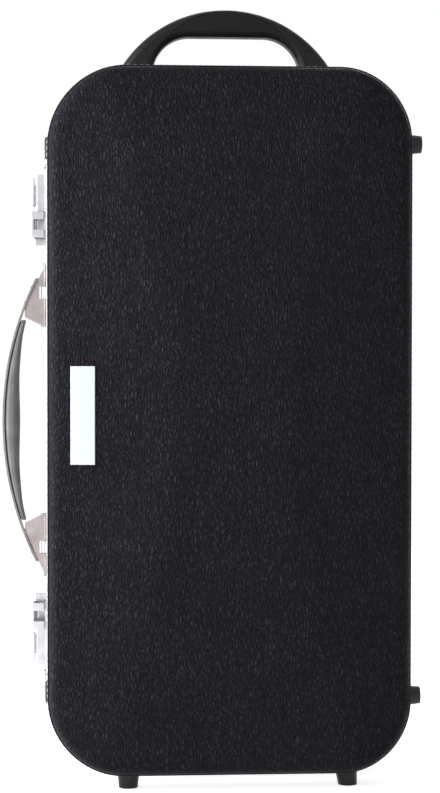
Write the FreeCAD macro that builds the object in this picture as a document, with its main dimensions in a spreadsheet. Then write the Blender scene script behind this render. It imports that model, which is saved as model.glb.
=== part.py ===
import FreeCAD, Part
import os
import re
import Sketcher

V = FreeCAD.Vector
doc = FreeCAD.newDocument("bassoon_case")

# Driving sizes in millimetres and degrees, each written once.
# The case is modelled about the middle of its parting plane, with y into the base half,
# and each finished piece is then set down in the row frame by its Placement.
SIZES = {
    # half shells: outline, depth from the parting plane to the crown, relief of the big faces
    "case_width": 327,
    "case_height": 635.5,
    "latch_top_corner": 71,
    "hinge_top_corner": 65.5,
    "latch_bottom_corner": 68,
    "hinge_bottom_corner": 63,
    "lid_depth": 66,
    "base_depth": 82,
    "shell_wall": 4,
    "crown_radius": 5500,
    "panel_half_width": 52,
    "facet_angle": 8,
    "ridge_round": 120,
    "edge_round": 10,
    "joint_gap": 0.5,
    # stitched welt just behind the edge of each big face
    "welt_proud": 1.5,
    "welt_width": 5,
    # metal frames on the two rims
    "skirt_proud": 2.5,
    "lid_skirt": 12,
    "base_skirt": 14,
    "frame_web": 1.5,
    "frame_leg": 1.5,
    "tongue_thickness": 1.2,
    "tongue_reach": 3,
    "tongue_play": 0.2,
    "seal_width": 2.5,
    "seal_thickness": 1.1,
    "seal_groove": 0.9,
    # feet
    "bottom_foot_height": 15,
    "bottom_foot_root": 10.5,
    "bottom_foot_sole": 8.6,
    "bottom_foot_left": 92,
    "bottom_foot_splay": 6,
    "sole_trim": 2,
    "side_foot_height": 11.5,
    "side_foot_root": 9.2,
    "side_foot_sole": 7.8,
    "side_foot_rise": 252,
    "lid_foot_depth": 27,
    "base_foot_depth": 37,
    "foot_bite": 2,
    "foot_bore": 4,
    "foot_bore_depth": 9,
    "foot_screw_head": 3.5,
    "foot_screw_head_height": 2.4,
    "foot_screw_shank": 1.6,
    "foot_screw_reach": 2.5,
    "bumper_radius": 10.5,
    "bumper_height": 3.8,
    "bumper_round": 2.5,
    "bumper_rise": 246,
    "welt_play": 0.4,
    # badge plate on the lid
    "badge_width": 22,
    "badge_length": 88,
    "badge_thickness": 1,
    "badge_margin": 30.5,
    "badge_rise": 6,
    # hinges on the right-hand wall
    "hinge_rise": 195,
    "hinge_length": 52,
    "hinge_leaf": 1.5,
    "hinge_leaf_margin": 1,
    "hinge_barrel": 2.4,
    "hinge_standoff": 0.3,
    "hinge_relief": 0.05,
    "hinge_pin": 1.2,
    "hinge_knuckle_gap": 0.3,
    "hinge_edge": 0.6,
    "running_play": 0.05,
    # latches on the left-hand wall
    "latch_inner_end": 160.2,
    "latch_tab": 5.8,
    "latch_plate": 1.5,
    "latch_margin": 1,
    "latch_setback": 0.8,
    "hasp_length": 24,
    "hasp_gap": 0.4,
    "hasp_inset": 0.3,
    "hasp_round": 0.8,
    "latch_tab_round": 1.2,
    "hasp_pin_height": 11.2,
    "hasp_pin_depth": 9,
    "hasp_pin_radius": 1.2,
    "hasp_barrel": 2.7,
    "hasp_thickness": 2.4,
    "hasp_reach": 12.4,
    "hasp_finger": 2.1,
    "hasp_finger_drop": 2.2,
    "ear_length": 7.3,
    "catch_play": 0.4,
    "catch_nose": 2.6,
    "catch_height": 6.4,
    "housing_length": 34,
    "housing_height": 9.2,
    "housing_wall": 1,
    "housing_inset": 0.5,
    "slide_thickness": 2.4,
    "slide_lift": 2,
    "slide_length": 26.2,
    "slide_stem_width": 3.6,
    "slide_stem_length": 19,
    "slide_play": 0.2,
    "slide_travel": 5,
    "slide_setback": 4.6,
    "slide_stem_start": 5,
    "slide_nub": 1.2,
    "slide_nub_length": 6.5,
    "slide_round": 0.8,
    "spring_room": 8.4,
    "spring_radius": 1.7,
    "spring_wire": 0.35,
    "spring_pitch": 1.3,
    # shoulder strap rings on the left-hand wall
    "ring_rise": 240,
    "ring_wire": 1.1,
    "ring_width": 18,
    "ring_reach": 17,
    "anchor_length": 11,
    "anchor_thickness": 0.8,
    "anchor_play": 0.2,
    "anchor_start": 1.5,
    # carrying handle on the left-hand wall
    "handle_depth": 7,
    "handle_axis_height": 3,
    "handle_rise": 40.7,
    "handle_bow_radius": 294,
    "strip_thickness": 2,
    "strip_width": 12,
    "strip_end": 130,
    "strip_screw_rise": 107,
    "strip_screw_pitch": 14,
    "strip_screw_head": 2,
    "strip_screw_proud": 0.6,
    "strip_screw_shank": 1,
    "strip_screw_length": 7,
    "bracket_tip": 144,
    "bracket_reach": 20,
    "bracket_corner": 94.5,
    "bracket_foot": 84.2,
    "bracket_thickness": 5,
    "lug_rise": 117,
    "lug_length": 10.7,
    "lug_play": 0.3,
    "lug_knuckle": 2.2,
    "lug_window": 4,
    "lug_neck": 1.8,
    "lug_root": 3,
    "handle_pin": 1.1,
    "handle_pin_half": 13,
    "grip_seat": 1.2,
    "grip_end_rise": 92,
    "grip_waist_rise": 52,
    "grip_middle": 14.2,
    "grip_waist": 9.6,
    "grip_end": 5.4,
    "grip_width": 18,
    "grip_end_width": 12.5,
    # carrying handle on the top wall
    "arch_depth": 27,
    "arch_height": 62.4,
    "arch_radius": 115,
    "arch_width": 23,
    "arch_opening_height": 37,
    "arch_opening_half": 68,
    "arch_opening_round": 34,
    "arch_edge": 7,
    "insert_radius": 74,
    "insert_top": 60,
    "insert_foot": 20,
    "insert_seam": 0.4,
    "insert_cover": 5.5,
    "cap_start": 73.5,
    "cap_height": 23,
    "cap_slope": 25,
    "cap_wall": 2.5,
    "cap_play": 0.3,
    "cap_seat": 8,
    "cap_seat_end": 89.5,
    "cap_screw_place": 82.5,
    "cap_screw_head": 3.6,
    "cap_screw_head_height": 2.5,
    "cap_screw_shank": 1.8,
    # lining: foam bed, fitted blocks and lid pad
    "lining_play": 0.3,
    "block_top": 6,
    "bed_top": 58,
    "surround_play": 0.4,
    "edge_bolster": 7,
    "end_bolster": 4,
    "divider": 8,
    "wing_joint_width": 54,
    "wing_joint_length": 525,
    "side_bay_half": 270,
    "long_joint_width": 54,
    "boot_joint_width": 92,
    "boot_joint_length": 446,
    "bell_length": 366,
    "end_block": 12,
    "lid_pad_top": 24,
    "lid_pad_thickness": 8,
    "rivet_head": 1.8,
    "rivet_head_height": 0.7,
    "rivet_shank": 1,
    "rivet_reach": 2,
}

dims = doc.addObject("Spreadsheet::Sheet", "dims")
for row, (alias, number) in enumerate(SIZES.items(), 1):
    dims.set(f"A{row}", alias)
    dims.set(f"B{row}", str(number))
    dims.setAlias(f"B{row}", alias)
doc.recompute()

# Where the parting plane's middle lies in the row frame: the row frame's origin is the
# middle of the whole object's box, on the floor under the bottom feet.
CENTRE_X = "(skirt_proud + handle_rise - side_foot_height) / 2"
CENTRE_Y = "(lid_depth - base_depth) / 2"
CENTRE_Z = "case_height / 2 + bottom_foot_height"

# Planes that many pieces share.
SIDE = "case_width / 2"
SKIRT = "(case_width / 2 + skirt_proud)"
TOP = "case_height / 2"
HALF_GAP = "joint_gap / 2"
UNDER_TOP = f"{TOP} - foot_bite * 2"
# The lowest line of the lid's welt, on its long walls.
WELT_LOW = ("(lid_depth - edge_round - welt_width"
            " - (case_width / 2 + welt_proud - panel_half_width) * tan(facet_angle))")

pieces = []


def size(alias):
    """The number in a size's cell, for edge lists, which take no expression."""
    return float(getattr(dims, alias))


def formula(text):
    """Point each size named in a formula at its cell."""
    return re.sub(r"[a-z_]+\w*", lambda m: "dims." + m[0] if m[0] in SIZES else m[0], text)


def bind(item, settings):
    for path, text in settings.items():
        item.setExpression(path, formula(text))
    return item


def move(item, x="0", y="0", z="0"):
    places = {"Placement.Base.x": x, "Placement.Base.y": y, "Placement.Base.z": z}
    return bind(item, places)


def turn(item, axis, angle):
    """Turn an item about an axis through its own origin."""
    item.Placement.Rotation = FreeCAD.Rotation(axis, 1)
    return bind(item, {"Placement.Rotation.Angle": angle})


def piece(item, label, in_lid=False):
    """Name a finished piece and set it down in the row frame.

    The lid's pieces are drawn like the base's, with y into their own half, and turned
    half a turn about the vertical.
    """
    if in_lid:
        turn(item, V(0, 0, 1), "180")
    move(item, CENTRE_X, CENTRE_Y, CENTRE_Z)
    item.Label = label
    pieces.append(item)
    return item


def box(name, x, y, z):
    """A block between two places on each axis."""
    item = doc.addObject("Part::Box", name)
    for edge, span in zip(("Length", "Width", "Height"), (x, y, z)):
        bind(item, {edge: f"abs(({span[1]}) - ({span[0]}))"})
    lows = [f"min({a}; {b})" for a, b in (x, y, z)]
    return move(item, *lows)


AXES = {
    "x": (V(0, 1, 0), "90"),
    "y": (V(1, 0, 0), "-90"),
    "z": (V(0, 0, 1), "0"),
}


def rod(name, axis, along, across, radius):
    """A cylinder along an axis, between two places, at a point of the other two axes."""
    item = doc.addObject("Part::Cylinder", name)
    bind(item, {"Radius": radius, "Height": f"({along[1]}) - ({along[0]})"})
    turn(item, *AXES[axis])
    where = list(across)
    where.insert("xyz".index(axis), along[0])
    return move(item, *where)


def fuse(name, *items):
    item = doc.addObject("Part::MultiFuse", name)
    item.Shapes = items
    item.Refine = True
    return item


def common(name, *items):
    item = doc.addObject("Part::MultiCommon", name)
    item.Shapes = items
    return item


def group(name, *items):
    item = doc.addObject("Part::Compound", name)
    item.Links = items
    return item


def cut(name, base, *tools):
    item = doc.addObject("Part::Cut", name)
    item.Base = base
    item.Tool = tools[0] if len(tools) == 1 else fuse(name + "_tools", *tools)
    return item


def mirror(name, source, normal, base=None):
    """A mirrored copy. A finished piece is mirrored about the case's middle."""
    item = doc.addObject("Part::Mirroring", name)
    item.Source = source
    item.Normal = normal
    if base:
        bind(item, {"Base.x": base[0], "Base.y": base[1], "Base.z": base[2]})
    return item


def twin(source, label, normal=V(0, 0, 1)):
    """The piece at the case's other end: a finished piece mirrored about the middle."""
    item = mirror(label + "_twin", source, normal, (CENTRE_X, CENTRE_Y, CENTRE_Z))
    item.Label = label
    pieces.append(item)
    return item


def fillet(name, base, radius, chosen, kind="Part::Fillet"):
    """Round, or chamfer, the edges of a shape that a test picks."""
    doc.recompute()
    item = doc.addObject(kind, name)
    item.Base = base
    edges = enumerate(base.Shape.Edges, 1)
    item.Edges = [(i, radius, radius) for i, edge in edges if chosen(edge)]
    return item


def middle(edge):
    return edge.valueAt((edge.FirstParameter + edge.LastParameter) / 2)


def runs_along(edge, axis):
    """Whether an edge is a straight line along an axis."""
    start = edge.valueAt(edge.FirstParameter)
    end = edge.valueAt(edge.LastParameter)
    way = end - start
    straight = abs(way.Length - edge.Length) < 1e-4
    return straight and abs(abs(way.dot(axis)) - way.Length) < 1e-4


def upright_sketch(name, y="0"):
    """A sketch whose x and y lie along the case's x and z."""
    sketch = doc.addObject("Sketcher::SketchObject", name)
    sketch.Placement.Rotation = FreeCAD.Rotation(V(1, 0, 0), 90)
    bind(sketch, {"Placement.Base.y": y})
    return sketch


def extrude(name, sketch, length, way=V(0, 1, 0), symmetric=False):
    item = doc.addObject("Part::Extrusion", name)
    item.Base = sketch
    item.DirMode = "Custom"
    item.Dir = way
    item.Solid = True
    item.Symmetric = symmetric
    return bind(item, {"LengthFwd": length})


def datum(sketch, kind, *args, text):
    """Add a driven constraint and bind its value."""
    index = sketch.addConstraint(Sketcher.Constraint(kind, *args))
    sketch.setExpression(f"Constraints[{index}]", formula(text))


def rounded_block(name, offset, y_from, y_to, hinge=1):
    """The case's outline, grown by an offset, between two depths.

    Its corners are a little tighter on the hinge side, which is -x for the lid's pieces.
    """
    sketch = upright_sketch(name + "_outline", y_from)
    half_x = size("case_width") / 2
    half_z = size("case_height") / 2
    corners = ((1, 1), (1, -1), (-1, -1), (-1, 1))
    names = [("hinge" if side == hinge else "latch") + ("_top" if up > 0 else "_bottom")
             + "_corner" for side, up in corners]
    ends = []
    for (side, up), corner in zip(corners, names):
        r = size(corner)
        centre = V(side * (half_x - r), up * (half_z - r), 0)
        diagonal = V(side, up, 0) * (r / 2 ** 0.5)
        flat = centre + V(0, up * r, 0)
        wall = centre + V(side * r, 0, 0)
        first, last = (flat, wall) if side == up else (wall, flat)
        ends.append((first, last))
        sketch.addGeometry(Part.Arc(first, centre + diagonal, last), False)
    for k in range(4):
        sketch.addGeometry(Part.LineSegment(ends[k][1], ends[(k + 1) % 4][0]), False)
    # The arcs run clockwise, so a sketch arc's end is where the outline enters it.
    for k in range(4):
        line = 4 + k
        sketch.addConstraint(Sketcher.Constraint("Tangent", k, 1, line, 1))
        sketch.addConstraint(Sketcher.Constraint("Tangent", (k + 1) % 4, 2, line, 2))
        way = "Vertical" if k % 2 == 0 else "Horizontal"
        sketch.addConstraint(Sketcher.Constraint(way, line))
    half_width = f"case_width / 2 + ({offset})"
    half_height = f"case_height / 2 + ({offset})"
    datum(sketch, "DistanceX", -1, 1, 4, 1, half_x, text=half_width)
    datum(sketch, "DistanceX", 6, 1, -1, 1, half_x, text=half_width)
    datum(sketch, "DistanceY", -1, 1, 7, 1, half_z, text=half_height)
    datum(sketch, "DistanceY", 5, 1, -1, 1, half_z, text=half_height)
    for k, corner in enumerate(names):
        datum(sketch, "Radius", k, size(corner), text=f"{corner} + ({offset})")
    return extrude(name, sketch, f"({y_to}) - ({y_from})")


def ring(name, outer, inner, y_from, y_to, hinge=1):
    """A frame between two offsets of the outline."""
    hole = rounded_block(name + "_hole", inner, f"({y_from}) - 1", f"({y_to}) + 1", hinge)
    return cut(name, rounded_block(name + "_rim", outer, y_from, y_to, hinge), hole)


def crowned_block(name, offset, y_from, crown, edge=0, hinge=1):
    """The outline under the relief of a big face: a long shallow crown in the middle
    and a facet falling away on each side, with a soft ridge where they meet."""
    block = rounded_block(name + "_block", offset, y_from, f"({crown}) + 1", hinge)
    barrel = rod(name + "_crown", "x", ("-case_width", "case_width"),
                 (f"({crown}) - crown_radius", "0"), "crown_radius")
    domed = common(name + "_domed", block, barrel)
    wedges = []
    reach = "case_width * 2"
    for side, word in ((1, "right"), (-1, "left")):
        wedge = box(f"{name}_{word}_facet", ("0", reach), ("0", "case_width"),
                    ("-case_height", "case_height"))
        turn(wedge, V(0, 0, 1), f"{-side} * facet_angle")
        # Each wedge starts above the crown, so that only its sloping face cuts.
        along = "-panel_half_width" if side > 0 else f"(panel_half_width - {reach})"
        rise = f"{-side} * ({along}) * sin(facet_angle)"
        move(wedge, f"{side} * panel_half_width + ({along}) * cos(facet_angle)",
             f"({crown}) + {rise}", "-case_height")
        wedges.append(wedge)
    cut_form = cut(name + "_facets", domed, *wedges)
    if not edge:
        return cut_form

    def is_ridge(line):
        return line.BoundBox.ZLength > size("case_height") / 2 and not runs_along(line, V(0, 0, 1)) \
            and abs(middle(line).x) < size("case_width") / 3
    soft = fillet(name + "_ridges", cut_form, size("ridge_round"), is_ridge)
    doc.recompute()
    walls = [f for f in soft.Shape.Faces if abs(f.normalAt(0.5, 0.5).y) < 1e-6]
    rim = [e for f in walls for e in f.Edges]
    start = float(block.Shape.BoundBox.YMin)

    def is_rim(line):
        return (middle(line).y > start + 1 and line.BoundBox.YLength < size("lid_depth") / 2
                and not runs_along(line, V(0, 1, 0)) and any(line.isSame(e) for e in rim))
    return fillet(name + "_form", soft, edge, is_rim)


def soft_box(name, x, y, z, radius):
    """A block with all its edges rounded."""
    return fillet(name, box(name + "_block", x, y, z), radius, lambda edge: True)


def polygon(name, points, y_from, y_to):
    """A plate between two depths with an outline of straight edges through (x, z)."""
    sketch = upright_sketch(name + "_outline", y_from)
    count = len(points)
    # Any start in the right order will do, because each corner's place is then bound.
    turns = [FreeCAD.Rotation(V(0, 0, 1), 360 * k / count) for k in range(count)]
    starts = [rotation.multVec(V(1, 0, 0)) for rotation in turns]
    for k in range(count):
        line = Part.LineSegment(starts[k], starts[(k + 1) % count])
        sketch.addGeometry(line, False)
    for k in range(count):
        sketch.addConstraint(Sketcher.Constraint("Coincident", k, 2, (k + 1) % count, 1))
    for k, (x, z) in enumerate(points):
        datum(sketch, "DistanceX", -1, 1, k, 1, starts[k].x, text=x)
        datum(sketch, "DistanceY", -1, 1, k, 1, starts[k].y, text=z)
    return extrude(name, sketch, f"({y_to}) - ({y_from})")


def stand(item, angle, x, y, z):
    """Point an item that was drawn along z another way, and stand it at a place."""
    turn(item, V(0, 1, 0), angle)
    return move(item, x, y, z)


# Half shells: moulded trays covered in stitched leather, each with its long soft crown,
# and the metal frames pressed over their rims.
RIM = "joint_gap / 2 + frame_web"
FRAME_INSIDE = "(shell_wall + frame_leg + tongue_play + tongue_thickness)"
SHELL_EDGE = size("edge_round") - size("shell_wall")
HALVES = {
    "lid": {"depth": "lid_depth", "skirt": "lid_skirt", "foot": "lid_foot_depth",
            "side_foot": f"{WELT_LOW} - side_foot_root - welt_play",
            "leg": "(shell_wall + frame_leg)"},
    "base": {"depth": "base_depth", "skirt": "base_skirt", "foot": "base_foot_depth",
             "side_foot": "base_foot_depth", "leg": FRAME_INSIDE},
}


def foot(name, wall, height, root, sole, spot, trim="0"):
    """A foot drawn along z from its seat, screwed on through its own bore.

    Returns the foot, cut to its wall, with its screw and the screw's hole.
    """
    body = doc.addObject("Part::Cone", name + "_cone")
    bind(body, {"Radius1": root, "Radius2": sole, "Height": f"{height} + foot_bite + {trim}"})
    move(body, z="-foot_bite")
    head_seat = f"{height} - foot_bore_depth"
    deepest = "-(shell_wall + foot_screw_reach)"
    bore = rod(name + "_bore", "z", (head_seat, f"{height} + {trim} + 1"), ("0", "0"), "foot_bore")
    hole = rod(name + "_hole", "z", (deepest, head_seat), ("0", "0"), "foot_screw_shank")
    drilled = cut(name + "_drilled", body, bore, hole)
    head = rod(name + "_head", "z", (head_seat, f"{head_seat} + foot_screw_head_height"),
               ("0", "0"), "foot_screw_head")
    shank = rod(name + "_shank", "z", (deepest, head_seat), ("0", "0"), "foot_screw_shank")
    screw = fuse(name + "_screw", head, shank)
    drill = rod(name + "_drill", "z", (deepest, "foot_bite"), ("0", "0"), "foot_screw_shank")
    passage = group(name + "_passage", drill)
    for item in (drilled, screw, passage):
        stand(item, *spot)
    return cut(name + "_seated", drilled, wall), screw, passage


def bottom_spots(half, depth):
    """The two bottom feet, square to the outline: one on the flat, one on the corner."""
    way = -1 if half == "lid" else 1
    curve = "hinge_bottom_corner * sin(bottom_foot_splay)"
    lift = "hinge_bottom_corner * (1 - cos(bottom_foot_splay))"
    return {
        "left": ("180", f"{-way} * bottom_foot_left", depth, f"-{TOP}"),
        "right": (f"180 - {way} * bottom_foot_splay",
                  f"{way} * (case_width / 2 - hinge_bottom_corner + {curve})", depth,
                  f"{lift} - {TOP}"),
    }


def side_spots(half, depth):
    way = -1 if half == "lid" else 1
    return {
        "upper": (f"{way} * 90", f"{way} * {SIDE}", depth, "side_foot_rise"),
        "lower": (f"{way} * 90", f"{way} * {SIDE}", depth, "-side_foot_rise"),
    }


holes = {"lid": [], "base": []}
for half, parts in HALVES.items():
    in_lid = half == "lid"
    wall = rounded_block(f"{half}_wall", "0", "0", parts["depth"], -1 if in_lid else 1)
    floor = box(f"{half}_floor", ("-case_width", "case_width"), ("0", parts["depth"]),
                (f"-{TOP} - bottom_foot_height * 2", f"-{TOP} - bottom_foot_height"))
    keep_out = group(f"{half}_keep_out", wall, floor)
    screws = []
    solids = []
    for side, spot in bottom_spots(half, parts["foot"]).items():
        made, screw, passage = foot(f"{half}_{side}_foot", keep_out, "bottom_foot_height",
                                    "bottom_foot_root", "bottom_foot_sole", spot, "sole_trim")
        solids.append(made)
        screws.append(screw)
        holes[half].append(passage)
    piece(group(f"{half}_bottom_feet_pair", *solids), f"bottom_feet_{half}", in_lid)
    solids = []
    for side, spot in side_spots(half, parts["side_foot"]).items():
        made, screw, passage = foot(f"{half}_{side}_side_foot", wall, "side_foot_height",
                                    "side_foot_root", "side_foot_sole", spot)
        solids.append(made)
        screws.append(screw)
        holes[half].append(passage)
    piece(group(f"{half}_side_feet_pair", *solids), f"side_feet_{half}", in_lid)
    piece(group(f"{half}_foot_screw_set", *screws), f"foot_screws_{half}", in_lid)

# Top handle: a moulded arch screwed to the base half's top wall, with a soft grip let in
# round its core and a snap cap over each screwed end.
ARCH_FROM = "arch_depth - arch_width / 2"
ARCH_TO = "arch_depth + arch_width / 2"
ARCH_SPAN = (ARCH_FROM, ARCH_TO)


def opening(name, margin, y_span):
    """The finger opening under the arch: flat above, with round shoulders."""
    round_size = f"arch_opening_round + {margin}"
    shoulder = "(arch_opening_half - arch_opening_round)"
    spring = f"{TOP} + arch_opening_height - arch_opening_round"
    arcs = [rod(f"{name}_{word}", "y", y_span, (f"{way} * {shoulder}", spring), round_size)
            for way, word in ((-1, "left"), (1, "right"))]
    middle_box = box(name + "_middle", (f"-{shoulder}", shoulder), y_span,
                     (UNDER_TOP, f"{TOP} + arch_opening_height + {margin}"))
    reach = f"(arch_opening_half + {margin})"
    low_box = box(name + "_low", (f"-{reach}", reach), y_span, (UNDER_TOP, spring))
    return fuse(name, *arcs, middle_box, low_box)


def arch_solid(name, y_span, radius, top, foot_height):
    disc = rod(name + "_disc", "y", y_span, ("0", f"{TOP} + {top} - {radius}"), radius)
    over = box(name + "_over", ("-case_width", "case_width"), y_span,
               (f"{TOP} + {foot_height}", f"{TOP} + arch_height * 2"))
    return common(name, disc, over)


THROUGH = (f"{ARCH_FROM} - 1", f"{ARCH_TO} + 1")
arch_blank = arch_solid("arch_blank", ARCH_SPAN, "arch_radius", "arch_height", "-foot_bite")
arch_plain = cut("arch_plain", arch_blank, opening("arch_opening", "0", THROUGH))


def on_arch_face(edge):
    """The curved edges of the arch's two faces, above its foot."""
    box_of = edge.BoundBox
    flat = box_of.YLength < 1e-4
    return flat and middle(edge).z > size("case_height") / 2 + 1 and box_of.ZLength > 1e-3 \
        or flat and abs(middle(edge).x) < 1 and box_of.XLength > 10


arch = fillet("arch", arch_plain, size("arch_edge"), on_arch_face)
core_span = ("arch_depth - arch_width / 4", "arch_depth + arch_width / 4")


def insert_form(name, y_span, growth):
    """The grip's outline on the arch, grown by so many widths of the seam round it."""
    more = f"{growth} * insert_seam"
    return arch_solid(name, y_span, f"(insert_radius + {more})", f"insert_top + {more}",
                      f"insert_foot - {more}")


insert_zone = insert_form("insert_zone", THROUGH, 0)
insert_room = insert_form("insert_room", THROUGH, 1)
core = cut("arch_core", insert_form("arch_core_zone", core_span, 2),
           opening("core_opening", "insert_cover", THROUGH))
base_wall = doc.base_wall
arch_grip = cut("arch_grip", common("arch_grip_zone", arch, insert_zone), core)
piece(arch_grip, "top_handle_grip")


def cap_zone(name, way, play):
    """The end of the arch that a cap covers, cut off aslant above."""
    inner = f"{way} * (cap_start - {play})"
    outer = f"{way} * case_width / 2"
    low = f"{TOP} + cap_height + {play}"
    high = f"{low} + (case_width / 2 - cap_start + {play}) * tan(cap_slope)"
    corners = [(inner, UNDER_TOP), (inner, low), (outer, high), (outer, UNDER_TOP)]
    return polygon(name, corners, *THROUGH)


arch_bare = cut("arch_bare", arch, insert_room, cap_zone("left_cap_room", -1, "cap_play"),
                cap_zone("right_cap_room", 1, "cap_play"))
seats = []
cap_screws = []
seat_half = "(arch_width / 2 - cap_wall)"
for way, word in ((-1, "left"), (1, "right")):
    seat = box(f"{word}_cap_seat", (f"{way} * (cap_start - cap_wall * 2)", f"{way} * cap_seat_end"),
               (f"arch_depth - {seat_half}", f"arch_depth + {seat_half}"),
               (f"{TOP} - foot_bite", f"{TOP} + cap_seat"))
    spot = (f"{way} * cap_screw_place", "arch_depth")
    deepest = f"{TOP} - shell_wall - foot_screw_reach"
    shank = rod(f"{word}_cap_shank", "z", (deepest, f"{TOP} + cap_seat"), spot, "cap_screw_shank")
    head = rod(f"{word}_cap_head", "z",
               (f"{TOP} + cap_seat", f"{TOP} + cap_seat + cap_screw_head_height"),
               spot, "cap_screw_head")
    seats.append(seat)
    cap_screws.append(fuse(f"{word}_cap_screw", shank, head))
    holes["base"].append(rod(f"{word}_cap_hole", "z", (deepest, TOP), spot, "cap_screw_shank"))
    room = box(f"{word}_cap_hollow",
               (f"{way} * (cap_start - cap_wall)", f"{way} * (cap_seat_end + cap_play)"),
               (f"arch_depth - {seat_half} - cap_play", f"arch_depth + {seat_half} + cap_play"),
               (UNDER_TOP, f"{TOP} + cap_seat + cap_screw_head_height + 1"))
    end = common(f"{word}_cap_solid", arch, cap_zone(f"{word}_cap_zone", way, "0"))
    piece(cut(f"{word}_cap", end, room, base_wall), f"top_handle_end_cap_{word}")
seat_holes = [rod(f"seat_hole_{way}", "z", (UNDER_TOP, f"{TOP} + cap_seat + 1"),
                  (f"{way} * cap_screw_place", "arch_depth"), "cap_screw_shank") for way in (-1, 1)]
arch_frame = fuse("arch_frame", arch_bare, core, *seats)
piece(cut("arch_on_wall", arch_frame, base_wall, *seat_holes), "top_handle_arch")
piece(group("cap_screw_set", *cap_screws), "top_handle_screws")

# The shells, drilled for the feet's and the top handle's screws.
for half, parts in HALVES.items():
    in_lid = half == "lid"
    hinge = -1 if in_lid else 1
    depth = parts["depth"]
    outer = crowned_block(f"{half}_outer", "0", RIM, depth, size("edge_round"), hinge)
    inner = crowned_block(f"{half}_inner", "-shell_wall", "0", f"{depth} - shell_wall", SHELL_EDGE,
                          hinge)
    tray = cut(f"{half}_tray", outer, inner)
    piece(cut(f"{half}_tray_drilled", tray, *holes[half]), f"{half}_shell", in_lid)

    # A raised welt of the leather, where the face is stitched to the wall.
    welt_top = f"{depth} - edge_round"
    band = crowned_block(f"{half}_welt_band", "welt_proud", "0", welt_top, hinge=hinge)
    under = crowned_block(f"{half}_welt_under", "welt_proud + 1", "-1",
                          f"{welt_top} - welt_width", hinge=hinge)
    inside = rounded_block(f"{half}_welt_inside", "0", "-1", f"{depth} + 1", hinge)
    piece(cut(f"{half}_welt_strip", band, under, inside), f"{half}_welt", in_lid)

    # The metal frame: a channel over the rim, with a skirt proud of the leather.
    channel = ring(f"{half}_channel", "skirt_proud", f"-{parts['leg']}", HALF_GAP,
                   parts["skirt"], hinge)
    slot = ring(f"{half}_slot", "0", "-shell_wall", RIM, f"{parts['skirt']} + 1", hinge)
    frame = cut(f"{half}_channel_open", channel, slot)
    parts["frame"] = frame

tongue = ring("tongue", "-(shell_wall + frame_leg + tongue_play)", f"-{FRAME_INSIDE}",
              "-tongue_reach", RIM)
SEAL_OUT = "skirt_proud / 2 + seal_width / 5"
SEAL_IN = f"{SEAL_OUT} - seal_width"
seal_floor = "joint_gap / 2 + seal_groove"
groove = ring("seal_groove_cut", SEAL_OUT, SEAL_IN, "-1", seal_floor)
piece(ring("seal_strip", SEAL_OUT, SEAL_IN, f"{seal_floor} - seal_thickness", seal_floor),
      "frame_seal")

# Rivets: a low head on a plate and a shank into the frame's skirt.
frame_cuts = {"lid": [], "base": [], "lid_left": [], "base_left": []}
rivets = {"lid": [], "base": [], "lid_left": [], "base_left": []}


def rivet(name, half, way, plate, y, z):
    """A rivet through a plate on the side wall. Returns its hole in the plate."""
    seat = f"case_width / 2 + skirt_proud + {plate}"
    head = doc.addObject("Part::Cone", name + "_head")
    bind(head, {"Radius1": "rivet_head", "Radius2": "rivet_head * 2 / 3",
                "Height": "rivet_head_height"})
    stand(head, f"{way} * 90", f"{way} * ({seat})", y, z)
    start = f"case_width / 2 + skirt_proud - rivet_reach"
    span = (start, seat) if way > 0 else (f"-({seat})", f"-({start})")
    shank = rod(name + "_shank", "x", span, (y, z), "rivet_shank")
    rivets[half].append(fuse(name, head, shank))
    frame_cuts[half].append(rod(name + "_hole", "x", span, (y, z), "rivet_shank"))
    return rod(name + "_plate_hole", "x", span, (y, z), "rivet_shank")


# Hinges: two leaves riveted to the skirts on the right, round one pin outside the skirts.
PIN_X = f"({SKIRT} + hinge_standoff + hinge_barrel)"
THIRD = "hinge_length / 3"
for way, word in ((1, "upper"), (-1, "lower")):
    foot_z = f"({way} * hinge_rise - hinge_length / 2)"
    zones = {
        "base": [(foot_z, f"{foot_z} + {THIRD} - hinge_knuckle_gap"),
                 (f"{foot_z} + {THIRD} * 2 + hinge_knuckle_gap", f"{foot_z} + hinge_length")],
        "lid": [(f"{foot_z} + {THIRD}", f"{foot_z} + {THIRD} * 2")],
    }
    for half, parts in HALVES.items():
        sign = -1 if half == "lid" else 1
        name = f"{word}_{half}_leaf"
        near = "hinge_barrel"
        far = f"({parts['skirt']} - hinge_leaf_margin)"
        leaf = soft_box(name + "_plate", (SKIRT, f"{SKIRT} + hinge_leaf"),
                        (f"{sign} * {near}", f"{sign} * {far}"),
                        (foot_z, f"{foot_z} + hinge_length"), size("hinge_edge"))
        knuckles = []
        for k, zone in enumerate(zones[half]):
            web = box(f"{name}_web_{k}", (f"{SKIRT} + hinge_relief", PIN_X),
                      ("0", f"{sign} * (hinge_barrel + hinge_edge * 2)"), zone)
            barrel = rod(f"{name}_barrel_{k}", "z", zone, (PIN_X, "0"), "hinge_barrel")
            knuckles += [web, barrel]
        play = "running_play" if half == "lid" else "0"
        bore = rod(name + "_bore", "z", (f"{foot_z} - 1", f"{foot_z} + hinge_length + 1"),
                   (PIN_X, "0"), f"hinge_pin + {play}")
        where = f"{sign} * ({near} + {far}) / 2"
        shanks = [rivet(f"{name}_rivet_{k}", half, 1, "hinge_leaf", where,
                        f"{foot_z} + hinge_length * {share}")
                  for k, share in enumerate(("1 / 6", "1 / 2", "5 / 6"))]
        whole = fuse(name + "_whole", leaf, *knuckles)
        piece(cut(name, whole, bore, *shanks), f"hinge_{half}_leaf_{word}")
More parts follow.
